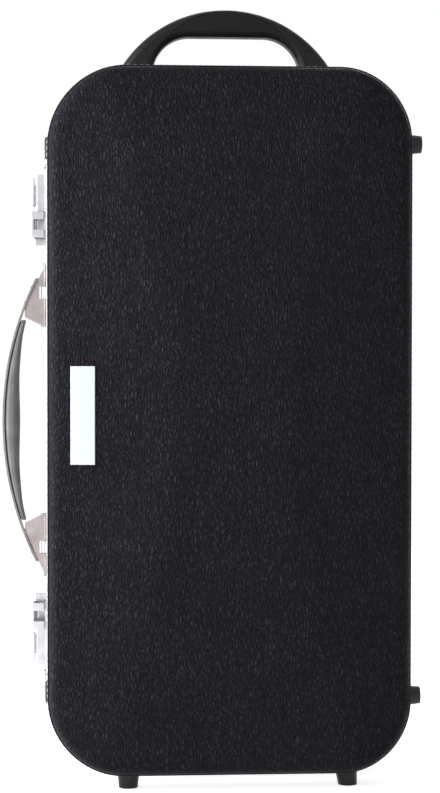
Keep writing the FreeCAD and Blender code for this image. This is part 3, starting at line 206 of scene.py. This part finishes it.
def moulded(name, tone, shade, roughness, grain_mm=0.5, depth_mm=0.03, coat=0.0, shine=0.5):
    """Moulded plastic or rubber: fine grain, slight waviness, and dust in the dull spots."""
    def build(tree):
        spot = place(tree)
        fine = cloud(tree, spot, grain_mm, 4.0, 0.6)
        wave = cloud(tree, spot, 22, 2.0)
        rough = maths(tree, "ADD", spread(tree, fine, 0.3, 0.7, roughness - 0.04,
                                          roughness + 0.05),
                      spread(tree, wave, 0.4, 0.8, 0.0, 0.1))
        return {"Base Color": blend_colour(tree, spread(tree, wave, 0.3, 0.75), tone, shade),
                "Roughness": rough, "Specular IOR Level": shine,
                "Coat Weight": coat, "Coat Roughness": 0.08,
                "Normal": bump(tree, fine, depth_mm, bump(tree, wave, 0.25))}
    return finish(name, build)


def plush(name, dark, light):
    """Short pile: a soft bloom of light over a nap that is brushed in patches."""
    def build(tree):
        spot = place(tree)
        nap = cloud(tree, spot, 0.9, 5.0, 0.7)
        brushed = cloud(tree, place(tree, (1, 1, 0.6)), 34, 3.0)
        # The colour is darker in the dips of the nap and of the brushed patches: painted shade.
        share = maths(tree, "MULTIPLY", spread(tree, nap, 0.25, 0.75),
                      spread(tree, brushed, 0.3, 0.7, 0.35, 1))
        return {"Base Color": blend_colour(tree, share, dark, light),
                "Roughness": 0.92, "Specular IOR Level": 0.15,
                "Sheen Weight": 0.55, "Sheen Roughness": 0.35,
                "Sheen Tint": rgb("8f9bc4"),
                "Normal": bump(tree, nap, 0.35, bump(tree, brushed, 1.2))}
    return finish(name, build)


def dress(nodes, made):
    """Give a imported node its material."""
    for node in nodes:
        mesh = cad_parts[node].data
        mesh.materials.clear()
        mesh.materials.append(made)


def piece(name, body, made, verts, faces, stands_for=(), smooth=True):
    """A new piece of the case from vertices in millimetres, on its body."""
    mesh = bpy.data.meshes.new(name)
    mesh.from_pydata([Vector(v) * MM for v in verts], [], faces)
    form = bmesh.new()
    form.from_mesh(mesh)
    bmesh.ops.remove_doubles(form, verts=form.verts, dist=1e-6)
    bmesh.ops.recalc_face_normals(form, faces=form.faces)
    form.to_mesh(mesh)
    form.free()
    if smooth:
        mesh.shade_smooth()
    mesh.materials.append(made)
    item = bpy.data.objects.new(name, mesh)
    scene.collection.objects.link(item)
    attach(item, body)
    if stands_for:
        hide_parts(*stands_for)
    return item


# The half shells: trays of board covered in one skin of pebbled leather. The big faces have
# a long shallow crown in the middle and a facet down each side, with a soft ridge between.
HALF_WIDTH = 163.5
HALF_HEIGHT = 317.75
CORNERS = ((1, 1, 65.5), (-1, 1, 71), (-1, -1, 68), (1, -1, 63))
DEPTHS = {"lid": (66, -1), "base": (82, 1)}
WALL = 4
RIM_START = 1.75
EDGE_ROUND = 10
CROWN_RADIUS = 5500
PANEL_HALF = 52
FACET = math.tan(math.radians(8))
RIDGE_BLEND = 1.2
CENTRE = (15.85, -8, 332.75)
SIDE_STEPS = 90
END_STEPS = 30
CORNER_STEPS = 22


def outline(offset):
    """Points (x, z) and outward normals round the case's outline, grown by an offset."""
    points, normals = [], []
    ends = []
    for k, (sx, sz, radius) in enumerate(CORNERS):
        centre = np.array((sx * (HALF_WIDTH - radius), sz * (HALF_HEIGHT - radius)))
        angles = math.pi / 2 * (k + np.linspace(0, 1, CORNER_STEPS))
        out = np.stack((np.cos(angles), np.sin(angles)), 1)
        ends.append((centre + out * (radius + offset), out))
    for k in range(4):
        spots, out = ends[k]
        points.append(spots)
        normals.append(out)
        after = ends[(k + 1) % 4]
        steps = END_STEPS if k % 2 == 0 else SIDE_STEPS
        share = np.linspace(0, 1, steps + 1)[1:-1, None]
        points.append(spots[-1] * (1 - share) + after[0][0] * share)
        normals.append(np.repeat(out[-1:], steps - 1, 0))
    return np.concatenate(points), np.concatenate(normals)


def fall(x, z):
    """How far a big face lies below its highest line."""
    crown = z ** 2 / (2 * CROWN_RADIUS)
    facet = (np.abs(x) - PANEL_HALF) * FACET
    overlap = np.maximum(RIDGE_BLEND - np.abs(crown - facet), 0) / RIDGE_BLEND
    return np.maximum(crown, facet) + overlap ** 2 * RIDGE_BLEND / 4


def skin_rings(offset, depth, rounding):
    """Rings of (x, depth, z) from the mouth, up the wall, over the rim and to the middle."""
    rings = []
    wall, _ = outline(offset)
    start = depth - fall(wall[:, 0], wall[:, 1]) - rounding
    for share in np.linspace(0, 1, 9):
        rings.append((wall, RIM_START * (1 - share) + start * share))
    for turn in np.linspace(0, math.pi / 2, 9)[1:]:
        inset, _ = outline(offset - rounding * (1 - math.cos(turn)))
        rings.append((inset, start * 0 + depth - fall(inset[:, 0], inset[:, 1])
                      - rounding * (1 - math.sin(turn))))
    for inset_mm in (16, 24, 33, 42):
        inset, _ = outline(offset - inset_mm)
        rings.append((inset, depth - fall(inset[:, 0], inset[:, 1])))
    last = rings[-1][0]
    spine = np.stack((last[:, 0] * 0, last[:, 1] * 0.72), 1)
    for share in np.linspace(0, 1, 22)[1:]:
        inset = last * (1 - share) + spine * share
        rings.append((inset, depth - fall(inset[:, 0], inset[:, 1])))
    return [np.stack((spots[:, 0], height, spots[:, 1]), 1) for spots, height in rings]


def skin(rings, half, flip=False):
    """Join rings into faces, in the row frame."""
    way = DEPTHS[half][1]
    count = len(rings[0])
    verts = np.concatenate(rings) * (1, way, 1) + CENTRE
    faces = []
    for k in range(len(rings) - 1):
        for j in range(count):
            a, b = k * count + j, k * count + (j + 1) % count
            faces.append((a, b, b + count, a + count))
    return verts, faces


black_leather = leather("black_pebbled_leather", "070609", "46434f", 2.7, 1.2, 0.4, 0.05)
for half, (depth, way) in DEPTHS.items():
    outer = skin_rings(0, depth, EDGE_ROUND)
    inner = skin_rings(-WALL, depth - WALL, EDGE_ROUND - WALL)
    verts, faces = skin(inner[::-1] + outer, half)
    piece(f"{half}_leather_shell", half, black_leather, verts, faces,
          (f"{half}_shell",))

# The welts: a rolled edge of smoother leather just behind each big face, saddle-stitched
# to the wall with pale waxed thread. The stitches lie a little aslant along the roll.
WELT_WIDTH = 5
WELT_PROUD = 1.5
STITCH_PITCH = 5.8
STITCH_LENGTH = 4.3
STITCH_RADIUS = 0.5


def instance_along(name, path, out, part, spacing, body, made, aslant=0.0):
    """Set copies of a small mesh along a closed path, facing out, as one plain mesh."""
    count = len(path)
    mesh = bpy.data.meshes.new(name + "_path")
    mesh.from_pydata([Vector(p) * MM for p in path],
                     [(k, (k + 1) % count) for k in range(count)], [])
    side = mesh.attributes.new("out", "FLOAT_VECTOR", "POINT")
    side.data.foreach_set("vector", np.asarray(out, float).ravel())
    item = bpy.data.objects.new(name, mesh)
    scene.collection.objects.link(item)
    tree = bpy.data.node_groups.new(name, "GeometryNodeTree")
    face = tree.interface
    for label, kind in (("Geometry", "NodeSocketGeometry"), ("Part", "NodeSocketObject"),
                        ("Spacing", "NodeSocketFloat"), ("Aslant", "NodeSocketFloat"),
                        ("Finish", "NodeSocketMaterial")):
        face.new_socket(label, in_out="INPUT", socket_type=kind)
    face.new_socket("Geometry", in_out="OUTPUT", socket_type="NodeSocketGeometry")
    given = add(tree, "NodeGroupInput").outputs
    line = add(tree, "GeometryNodeMeshToCurve", {"Mesh": given["Geometry"]}).outputs[0]
    stops = add(tree, "GeometryNodeResampleCurve", {"Curve": line, "Length": given["Spacing"]},
                mode="LENGTH").outputs[0]
    tangent = add(tree, "GeometryNodeInputTangent").outputs[0]
    outward = add(tree, "GeometryNodeInputNamedAttribute", {"Name": "out"},
                  data_type="FLOAT_VECTOR").outputs[0]
    along = add(tree, "FunctionNodeAlignRotationToVector", {"Vector": tangent},
                axis="X").outputs[0]
    facing_out = add(tree, "FunctionNodeAlignRotationToVector",
                     {"Rotation": along, "Vector": outward}, axis="Z", pivot_axis="X").outputs[0]
    tilt = add(tree, "ShaderNodeCombineXYZ", {"Z": given["Aslant"]}).outputs[0]
    turned = add(tree, "FunctionNodeRotateRotation",
                 {"Rotation": facing_out, "Rotate By": tilt}, rotation_space="LOCAL").outputs[0]
    shape = add(tree, "GeometryNodeObjectInfo", {"Object": given["Part"]}).outputs["Geometry"]
    copies = add(tree, "GeometryNodeInstanceOnPoints", {"Points": stops, "Instance": shape,
                                                        "Rotation": turned}).outputs[0]
    solid = add(tree, "GeometryNodeRealizeInstances", {"Geometry": copies}).outputs[0]
    coated = add(tree, "GeometryNodeSetMaterial", {"Geometry": solid,
                                                   "Material": given["Finish"]}).outputs[0]
    add(tree, "NodeGroupOutput", {"Geometry": coated})
    modifier = item.modifiers.new("copies", "NODES")
    modifier.node_group = tree
    sockets = {s.name: s.identifier for s in face.items_tree if s.in_out == "INPUT"}
    modifier[sockets["Part"]] = part
    modifier[sockets["Spacing"]] = spacing * MM
    modifier[sockets["Aslant"]] = aslant
    modifier[sockets["Finish"]] = made
    bpy.context.view_layer.update()
    ready = item.evaluated_get(bpy.context.evaluated_depsgraph_get())
    plain = bpy.data.meshes.new_from_object(ready)
    item.modifiers.remove(modifier)
    item.data = plain
    plain.shade_smooth()
    if not plain.materials:
        plain.materials.append(made)
    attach(item, body)
    return item


def pill(name, length, radius, flat=1.0):
    """A long bead along x, a little flattened in z, as a pattern for copies."""
    verts, faces = [], []
    rings, round_steps = 9, 8
    for k in range(rings):
        x = -length / 2 + length * k / (rings - 1)
        swell = max(1 - (2 * x / length) ** 4, 0) ** 0.5
        for j in range(round_steps):
            a = 2 * math.pi * j / round_steps
            verts.append((x, math.cos(a) * radius * swell, math.sin(a) * radius * swell * flat))
    for k in range(rings - 1):
        for j in range(round_steps):
            a, b = k * round_steps + j, k * round_steps + (j + 1) % round_steps
            faces.append((a, b, b + round_steps, a + round_steps))
    mesh = bpy.data.meshes.new(name)
    mesh.from_pydata([Vector(v) * MM for v in verts], [], faces)
    form = bmesh.new()
    form.from_mesh(mesh)
    bmesh.ops.remove_doubles(form, verts=form.verts, dist=1e-6)
    bmesh.ops.recalc_face_normals(form, faces=form.faces)
    form.to_mesh(mesh)
    form.free()
    return bpy.data.objects.new(name, mesh)


def thread_look(tree):
    twist = add(tree, "ShaderNodeTexWave", {"Vector": place(tree, turn=(0.5, 0.3, 0.6)),
                                            "Scale": 420.0, "Distortion": 1.5}).outputs[1]
    grime = cloud(tree, place(tree), 7, 3.0)
    # The thread is darker down in the grooves of its twist: painted shade. The grime cloud
    # darkens it in patches as dirt.
    tone = maths(tree, "MULTIPLY", spread(tree, twist, 0, 1, 0.6, 1),
                 spread(tree, grime, 0.3, 0.7, 0.7, 1))
    return {"Base Color": blend_colour(tree, tone, "8f8d8a", "dedcd8"), "Roughness": 0.62,
            "Sheen Weight": 0.2, "Normal": bump(tree, twist, 0.12)}


# The welt's leather is coloured much darker than the shell's, standing in for the shade it lies
# in: painted shade.
welt_leather_painted_shade = leather("smooth_welt_leather", "070709", "19181c", 1.5, 0.12, 0.42, 0.12)
waxed_thread = finish("waxed_thread", thread_look)
stitch = pill("stitch_pattern", STITCH_LENGTH, STITCH_RADIUS, 0.75)
for half, (depth, way) in DEPTHS.items():
    base_line, normals = outline(0)
    top = depth - fall(base_line[:, 0], base_line[:, 1]) - EDGE_ROUND
    profile = []
    for turn in np.linspace(0, 2 * math.pi, 15)[:-1]:
        wide = math.copysign(abs(math.cos(turn)) ** 0.6, math.cos(turn))
        proud = math.copysign(abs(math.sin(turn)) ** 0.6, math.sin(turn))
        profile.append((WELT_WIDTH / 2 * (wide - 1), WELT_PROUD * (proud + 0.35) / 1.35))
    rings = []
    for drop, proud in profile:
        spots = base_line + normals * proud
        rings.append(np.stack((spots[:, 0], top + drop, spots[:, 1]), 1))
    verts, faces = skin(rings + [rings[0]], half)
    piece(f"{half}_rolled_welt", half, welt_leather_painted_shade, verts, faces,
          (f"{half}_welt",))
    seam = base_line + normals * (WELT_PROUD - 0.1)
    path = np.stack((seam[:, 0], (top - WELT_WIDTH * 0.5) * way, seam[:, 1]), 1) + CENTRE
    out = np.stack((normals[:, 0], normals[:, 0] * 0, normals[:, 1]), 1)
    instance_along(f"{half}_welt_stitches", path, out, stitch, STITCH_PITCH, half,
                   waxed_thread, 0.1)

# The frames: two anodised channels pressed over the rims, with a black seal between them,
# and the hinges riveted to their skirts.
satin_aluminium = metal("satin_anodised_aluminium", "d3d5d7", "bdc0c3", 0.3, (1, 1, 0.06))
black_seal = moulded("black_seal_rubber", "0c0c0d", "171718", 0.7, 0.6)
hinge_metal = metal("hinge_aluminium", "c4c7ca", "a3a6a9", 0.34, (1, 1, 0.1))
pin_steel = metal("bright_pin_steel", "b9babd", "8f9094", 0.25, (1, 1, 0.2), 0.25)
dress(("base_frame", "lid_frame"), satin_aluminium)
dress(("frame_seal",), black_seal)
dress([f"hinge_{half}_leaf_{end}" for half in DEPTHS for end in ("upper", "lower")], hinge_metal)
dress(("hinge_pins", "base_rivets", "lid_rivets", "foot_screws_base", "foot_screws_lid",
       "top_handle_screws", "side_handle_screws", "side_handle_pins", "hasp_pins"), pin_steel)

# The latches: pressed and plated parts, satin nickel, with a wound spring in each housing.
satin_nickel = metal("satin_nickel_plate", "d2d3d6", "b1b1b3", 0.3, (1, 1, 0.3), 0.3)
spring_wire = metal("spring_wire", "8d8f93", "6b6d71", 0.32, (1, 1, 1), 0.2)
dress([f"{name}_{end}" for name in ("latch_plate", "hasp", "catch_plate", "latch_housing",
                                    "slide_button") for end in ("upper", "lower")], satin_nickel)
dress(("strap_anchors", "side_handle_lugs"), satin_nickel)

# The return springs: each is one wound wire from the button's heel to the housing's end wall,
# with a mesh of its own.
SPRING_WIRE = 0.35
SPRING_PITCH = 1.3
SPRING_STEPS = 24
WIRE_SIDES = 8
for way, end in ((1, "upper"), (-1, "lower")):
    low, high = (np.array(corner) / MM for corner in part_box(f"latch_spring_{end}"))
    axis = (low + high) / 2
    height = high[2] - low[2]
    radius = (high[0] - low[0]) / 2 - SPRING_WIRE
    start = axis[2] - way * (height / 2 - SPRING_WIRE)
    rise = height - 2 * SPRING_WIRE
    count = round(rise / SPRING_PITCH * SPRING_STEPS) + 1
    verts, faces = [], []
    for k in range(count):
        turned = 2 * math.pi * rise / SPRING_PITCH * k / (count - 1)
        for a in np.linspace(0, 2 * math.pi, WIRE_SIDES + 1)[:-1]:
            reach = radius + SPRING_WIRE * math.cos(a)
            verts.append((axis[0] + reach * math.cos(turned), axis[1] + reach * math.sin(turned),
                          start + way * (rise * k / (count - 1) + SPRING_WIRE * math.sin(a))))
    for k in range(count - 1):
        for j in range(WIRE_SIDES):
            a, b = k * WIRE_SIDES + j, k * WIRE_SIDES + (j + 1) % WIRE_SIDES
            faces.append((a, b, b + WIRE_SIDES, a + WIRE_SIDES))
    faces.append(tuple(range(WIRE_SIDES)))
    faces.append(tuple(range((count - 1) * WIRE_SIDES, count * WIRE_SIDES)))
    coil = piece(f"return_spring_{end}", "base", spring_wire, verts, faces,
                 (f"latch_spring_{end}",))
    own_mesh(coil)

# The strap rings: bent wire, brazed into a rounded loop, lying flat against the case.
RING_WIRE = 1.1
RING_X = -168.1
RING_BAR_Y = 3.6
RING_REACH = 17
RING_HALF = 7.9
RING_RISE = 240
RING_BEND = 3.2
for way, end in ((1, "upper"), (-1, "lower")):
    corners = ((RING_BAR_Y + RING_REACH, 1), (RING_BAR_Y + RING_REACH, -1),
               (RING_BAR_Y, -1), (RING_BAR_Y, 1))
    route = []
    for k, (y, side) in enumerate(corners):
        bend = RING_BEND if k < 2 else 1.6
        hub = np.array((y - bend if k < 2 else y + bend, side * (RING_HALF - bend)))
        first = (90, 0, -90, -180)[k]
        for a in np.radians(np.linspace(first, first - 90, 8)):
            route.append((hub[0] + bend * math.cos(a),
                          hub[1] + bend * math.sin(a)))
    route = np.array(route)
    count = len(route)
    verts, faces = [], []
    for k in range(count):
        before, after = route[k - 1], route[(k + 1) % count]
        heading = (after - before) / np.linalg.norm(after - before)
        across = np.array((heading[1], -heading[0]))
        for a in np.linspace(0, 2 * math.pi, 13)[:-1]:
            spot = route[k] + across * RING_WIRE * math.cos(a)
            verts.append((RING_X + CENTRE[0] + RING_WIRE * math.sin(a), spot[0] + CENTRE[1],
                          way * RING_RISE + spot[1] + CENTRE[2]))
    for k in range(count):
        for j in range(12):
            a, b = k * 12 + j, k * 12 + (j + 1) % 12
            c, d = ((k + 1) % count) * 12 + j, ((k + 1) % count) * 12 + (j + 1) % 12
            faces.append((a, b, d, c))
    piece(f"strap_ring_loop_{end}", f"strap_ring_{end}", satin_nickel,
          verts, faces, (f"strap_ring_{end}",))

# The carrying handle on the side: a sprung strip, brackets with bright bevels, and a soft
# grip under the strip that swells in the middle and is seamed along both sides.
SIDE_SKIRT = -166
HANDLE_Y = 7
BOW_X = SIDE_SKIRT - 40.7 + 294
GRIP_SECTIONS = ((-92, 5.4, 12.5), (-52, 9.6, 15.25), (0, 14.2, 18), (52, 9.6, 15.25),
                 (92, 5.4, 12.5))


def smooth_curve(x, knots, values):
    """A smooth line through a few values: cubic between knots, level at the ends."""
    slopes = np.gradient(values, knots)
    slopes[0] = slopes[-1] = 0
    k = np.clip(np.searchsorted(knots, x) - 1, 0, len(knots) - 2)
    span = knots[k + 1] - knots[k]
    t = (x - knots[k]) / span
    return ((2 * t ** 3 - 3 * t ** 2 + 1) * values[k] + (t ** 3 - 2 * t ** 2 + t) * span
            * slopes[k] + (-2 * t ** 3 + 3 * t ** 2) * values[k + 1]
            + (t ** 3 - t ** 2) * span * slopes[k + 1])


knots = np.array([s[0] for s in GRIP_SECTIONS], float)
thick = np.array([s[1] for s in GRIP_SECTIONS], float)
wide = np.array([s[2] for s in GRIP_SECTIONS], float)
verts, faces = [], []
STOPS, AROUND = 97, 40
for stop, rise in enumerate(np.linspace(-91.7, 91.7, STOPS)):
    t = smooth_curve(rise, knots, thick) - 0.1
    w = smooth_curve(rise, knots, wide) - 0.1
    face_x = BOW_X - math.sqrt(292 ** 2 - rise ** 2)
    end_fade = min(1, (91.7 - abs(rise)) / 2 + 0.5) ** 0.5
    for j in range(AROUND):
        a = 2 * math.pi * j / AROUND
        flat = abs(math.cos(a)) ** 0.85 * math.copysign(1, math.cos(a))
        seam = 0.35 * math.exp(-((math.cos(a) + 0.15) / 0.1) ** 2)
        depth = t / 2 * (1 + flat * end_fade)
        half_w = (w / 2 * end_fade - seam) * math.sin(a)
        x = face_x + max(depth, 0.05)
        verts.append((x + CENTRE[0], HANDLE_Y + half_w + CENTRE[1], rise + CENTRE[2]))
for k in range(STOPS - 1):
    for j in range(AROUND):
        a, b = k * AROUND + j, k * AROUND + (j + 1) % AROUND
        faces.append((a, b, b + AROUND, a + AROUND))
faces.append(tuple(range(AROUND))[::-1])
faces.append(tuple(range((STOPS - 1) * AROUND, STOPS * AROUND)))
grey_grip = moulded("satin_grey_grip", "727374", "5b5c5d", 0.5, 0.9, 0.05, shine=0.3)
piece("side_handle_soft_grip", "side_handle", grey_grip, verts, faces,
      ("side_handle_grip",))
warm_metal = metal("warm_grey_metal", "b3a9a8", "938a8a", 0.33, (1, 1, 0.4), 0.5, 1.3)
strip_paint = metal("brown_grey_strip", "8f8c8a", "74716f", 0.38, (1, 1, 0.1), 0.5)
dress(("side_handle_bracket_upper", "side_handle_bracket_lower"), warm_metal)
dress(("side_handle_strip",), strip_paint)

# The carrying handle on top: a moulded arch with snap caps over its screwed ends and a
# softer grip let in round its core, the two a little different in sheen.
satin_black = moulded("satin_black_moulding", "121013", "1a181b", 0.32, 0.45, 0.02, shine=0.2)
soft_black = moulded("soft_black_grip", "0b0a0c", "121013", 0.42, 0.7, 0.04, shine=0.18)
dress(("top_handle_arch", "top_handle_end_cap_left", "top_handle_end_cap_right"), satin_black)
dress(("top_handle_grip",), soft_black)

# The feet and bumpers: glossy black under the case, duller rubber on the hinge side.
gloss_black = moulded("gloss_black_foot", "060607", "0c0c0e", 0.14, 0.8, 0.01, 0.0, 0.25)
dull_rubber = moulded("dull_black_rubber", "29282a", "343335", 0.55, 0.6, 0.05, shine=0.3)
dress(("bottom_feet_base", "bottom_feet_lid"), gloss_black)
dress(("side_feet_base", "side_feet_lid", "side_bumpers"), dull_rubber)

# The badge: a bare brushed plate with softened edges, bonded to the left-hand facet.
badge_metal = metal("brushed_badge_plate", "c2c8c8", "b6bcbd", 0.34, (0.06, 1, 1), 0.35)
dress(("badge_plate",), badge_metal)

# The lining: foam blocks and a lid pad covered in short plush. Each cover is drawn tight
# over its foam, so it swells between its edges and pulls in at the corners.
LININGS = (
    ("foam_bed", "plush_bed", "base", 3, 0.5),
    ("insert_surround", "plush_surround", "base", 3, 0.7),
    ("insert_dividers", "plush_dividers", "base", 2.5, 0.8),
    ("insert_end_blocks", "plush_end_blocks", "base", 2.5, 0.8),
    ("lid_pad", "plush_lid_pad", "lid", 3, 0.6),
    ("lid_foam", "lid_foam_filling", "lid", 3, 0.5),
)
PRESSURE = 4.0
VOXEL = 5.5


def drawn_tight(node, name, body, swell, made):
    """A plush cover from a foam block's form: shrunk, remeshed, puffed up and eased."""
    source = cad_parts[node].data
    item = bpy.data.objects.new(name, source.copy())
    item.data.materials.clear()
    scene.collection.objects.link(item)
    shrink = item.modifiers.new("shrink", "REMESH")
    shrink.mode = "VOXEL"
    shrink.voxel_size = VOXEL * MM
    bpy.context.view_layer.update()
    ready = item.evaluated_get(bpy.context.evaluated_depsgraph_get())
    mesh = bpy.data.meshes.new_from_object(ready)
    item.modifiers.clear()
    item.data = mesh
    form = bmesh.new()
    form.from_mesh(mesh)
    form.normal_update()
    starts = [v.co - v.normal * swell * MM for v in form.verts]
    for v, spot in zip(form.verts, starts):
        v.co = spot
    for _ in range(2):
        bmesh.ops.smooth_vert(form, verts=form.verts, factor=0.4, use_axis_x=True,
                              use_axis_y=True, use_axis_z=True)
    form.to_mesh(mesh)
    form.free()
    start = np.array([v.co for v in mesh.vertices])
    cloth = item.modifiers.new("cover", "CLOTH")
    settings = cloth.settings
    settings.quality = 4
    settings.use_pressure = True
    settings.uniform_pressure_force = PRESSURE
    settings.effector_weights.gravity = 0
    settings.tension_stiffness = 20
    settings.bending_stiffness = 2
    cloth.collision_settings.use_collision = False
    for step in range(1, 15):
        scene.frame_set(step)
    ready = item.evaluated_get(bpy.context.evaluated_depsgraph_get())
    puffed = np.array([v.co for v in ready.data.vertices])
    item.modifiers.clear()
    scene.frame_set(1)
    move = puffed - start
    length = np.linalg.norm(move, axis=1, keepdims=True)
    move *= np.minimum(1, swell * 0.95 * MM / np.maximum(length, 1e-9))
    mesh.vertices.foreach_set("co", (start + move).astype(np.float32).ravel())
    mesh.update()
    smooth = item.modifiers.new("ease", "SUBSURF")
    smooth.levels = smooth.render_levels = 1
    bpy.context.view_layer.update()
    ready = item.evaluated_get(bpy.context.evaluated_depsgraph_get())
    item.data = bpy.data.meshes.new_from_object(ready)
    item.modifiers.clear()
    item.data.shade_smooth()
    item.data.materials.clear()
    item.data.materials.append(made)
    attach(item, body)
    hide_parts(node)


blue_plush = plush("dark_blue_plush", "0c1226", "27335c")
for node, name, body, swell, fill in LININGS:
    drawn_tight(node, name, body, swell, blue_plush)

# The stage: a pale floor, a white background that only the camera sees, and soft lamps,
# the brightest on the left, as in the photograph.
def lit_only_for_view(tree, plain, near, far):
    """A glow that the camera and reflections see and that lights nothing."""
    path = add(tree, "ShaderNodeLightPath").outputs
    seen = maths(tree, "MAXIMUM", path["Is Camera Ray"], path["Is Glossy Ray"])
    reach = add(tree, "ShaderNodeVectorMath", {0: place(tree)}, operation="LENGTH").outputs[1]
    power = maths(tree, "MULTIPLY", spread(tree, reach, 0.3, 0.9, near, far), seen)
    glow = add(tree, "ShaderNodeEmission", {"Color": rgb("ffffff"), "Strength": power})
    return add(tree, "ShaderNodeAddShader", {0: plain, 1: glow.outputs[0]}).outputs[0]


floor_white = bpy.data.materials.new("studio_floor")
floor_white.use_nodes = True
tree = floor_white.node_tree
tree.nodes.clear()
matt = add(tree, "ShaderNodeBsdfDiffuse", {"Color": rgb("f4f4f4")}).outputs[0]
add(tree, "ShaderNodeOutputMaterial", {"Surface": lit_only_for_view(tree, matt, 0.78, 1.0)})
bpy.ops.mesh.primitive_plane_add(size=12, location=(0, 0, -0.0005))
floor = bpy.context.object
floor.name = "studio_floor"
floor.data.materials.append(floor_white)
world = bpy.data.worlds.new("studio")
scene.world = world
world.use_nodes = True
tree = world.node_tree
tree.nodes.clear()
path = add(tree, "ShaderNodeLightPath").outputs
seen = maths(tree, "MAXIMUM", path["Is Camera Ray"], path["Is Glossy Ray"])
dim = add(tree, "ShaderNodeBackground", {"Color": rgb("ffffff"), "Strength": 0.07}).outputs[0]
white = add(tree, "ShaderNodeBackground", {"Color": rgb("ffffff"), "Strength": 1.0}).outputs[0]
both = add(tree, "ShaderNodeMixShader", {0: seen, 1: dim, 2: white}).outputs[0]
add(tree, "ShaderNodeOutputWorld", {"Surface": both})
for name, spot, size, power in (("key", (-1.1, -0.5, 0.58), 1.8, 46),
                                ("rim", (-1.5, 0.42, 0.5), 1.2, 18),
                                ("fill", (1.2, -2.0, 0.8), 1.6, 1.5),
                                ("back", (0.6, 1.6, 1.4), 1.2, 12)):
    lamp = bpy.data.lights.new(name, "AREA")
    lamp.size = size
    lamp.energy = power
    item = bpy.data.objects.new(name, lamp)
    scene.collection.objects.link(item)
    item.location = spot
    item.rotation_euler = (Vector(spot) - SHELL_MIDDLE).to_track_quat("Z", "Y").to_euler()
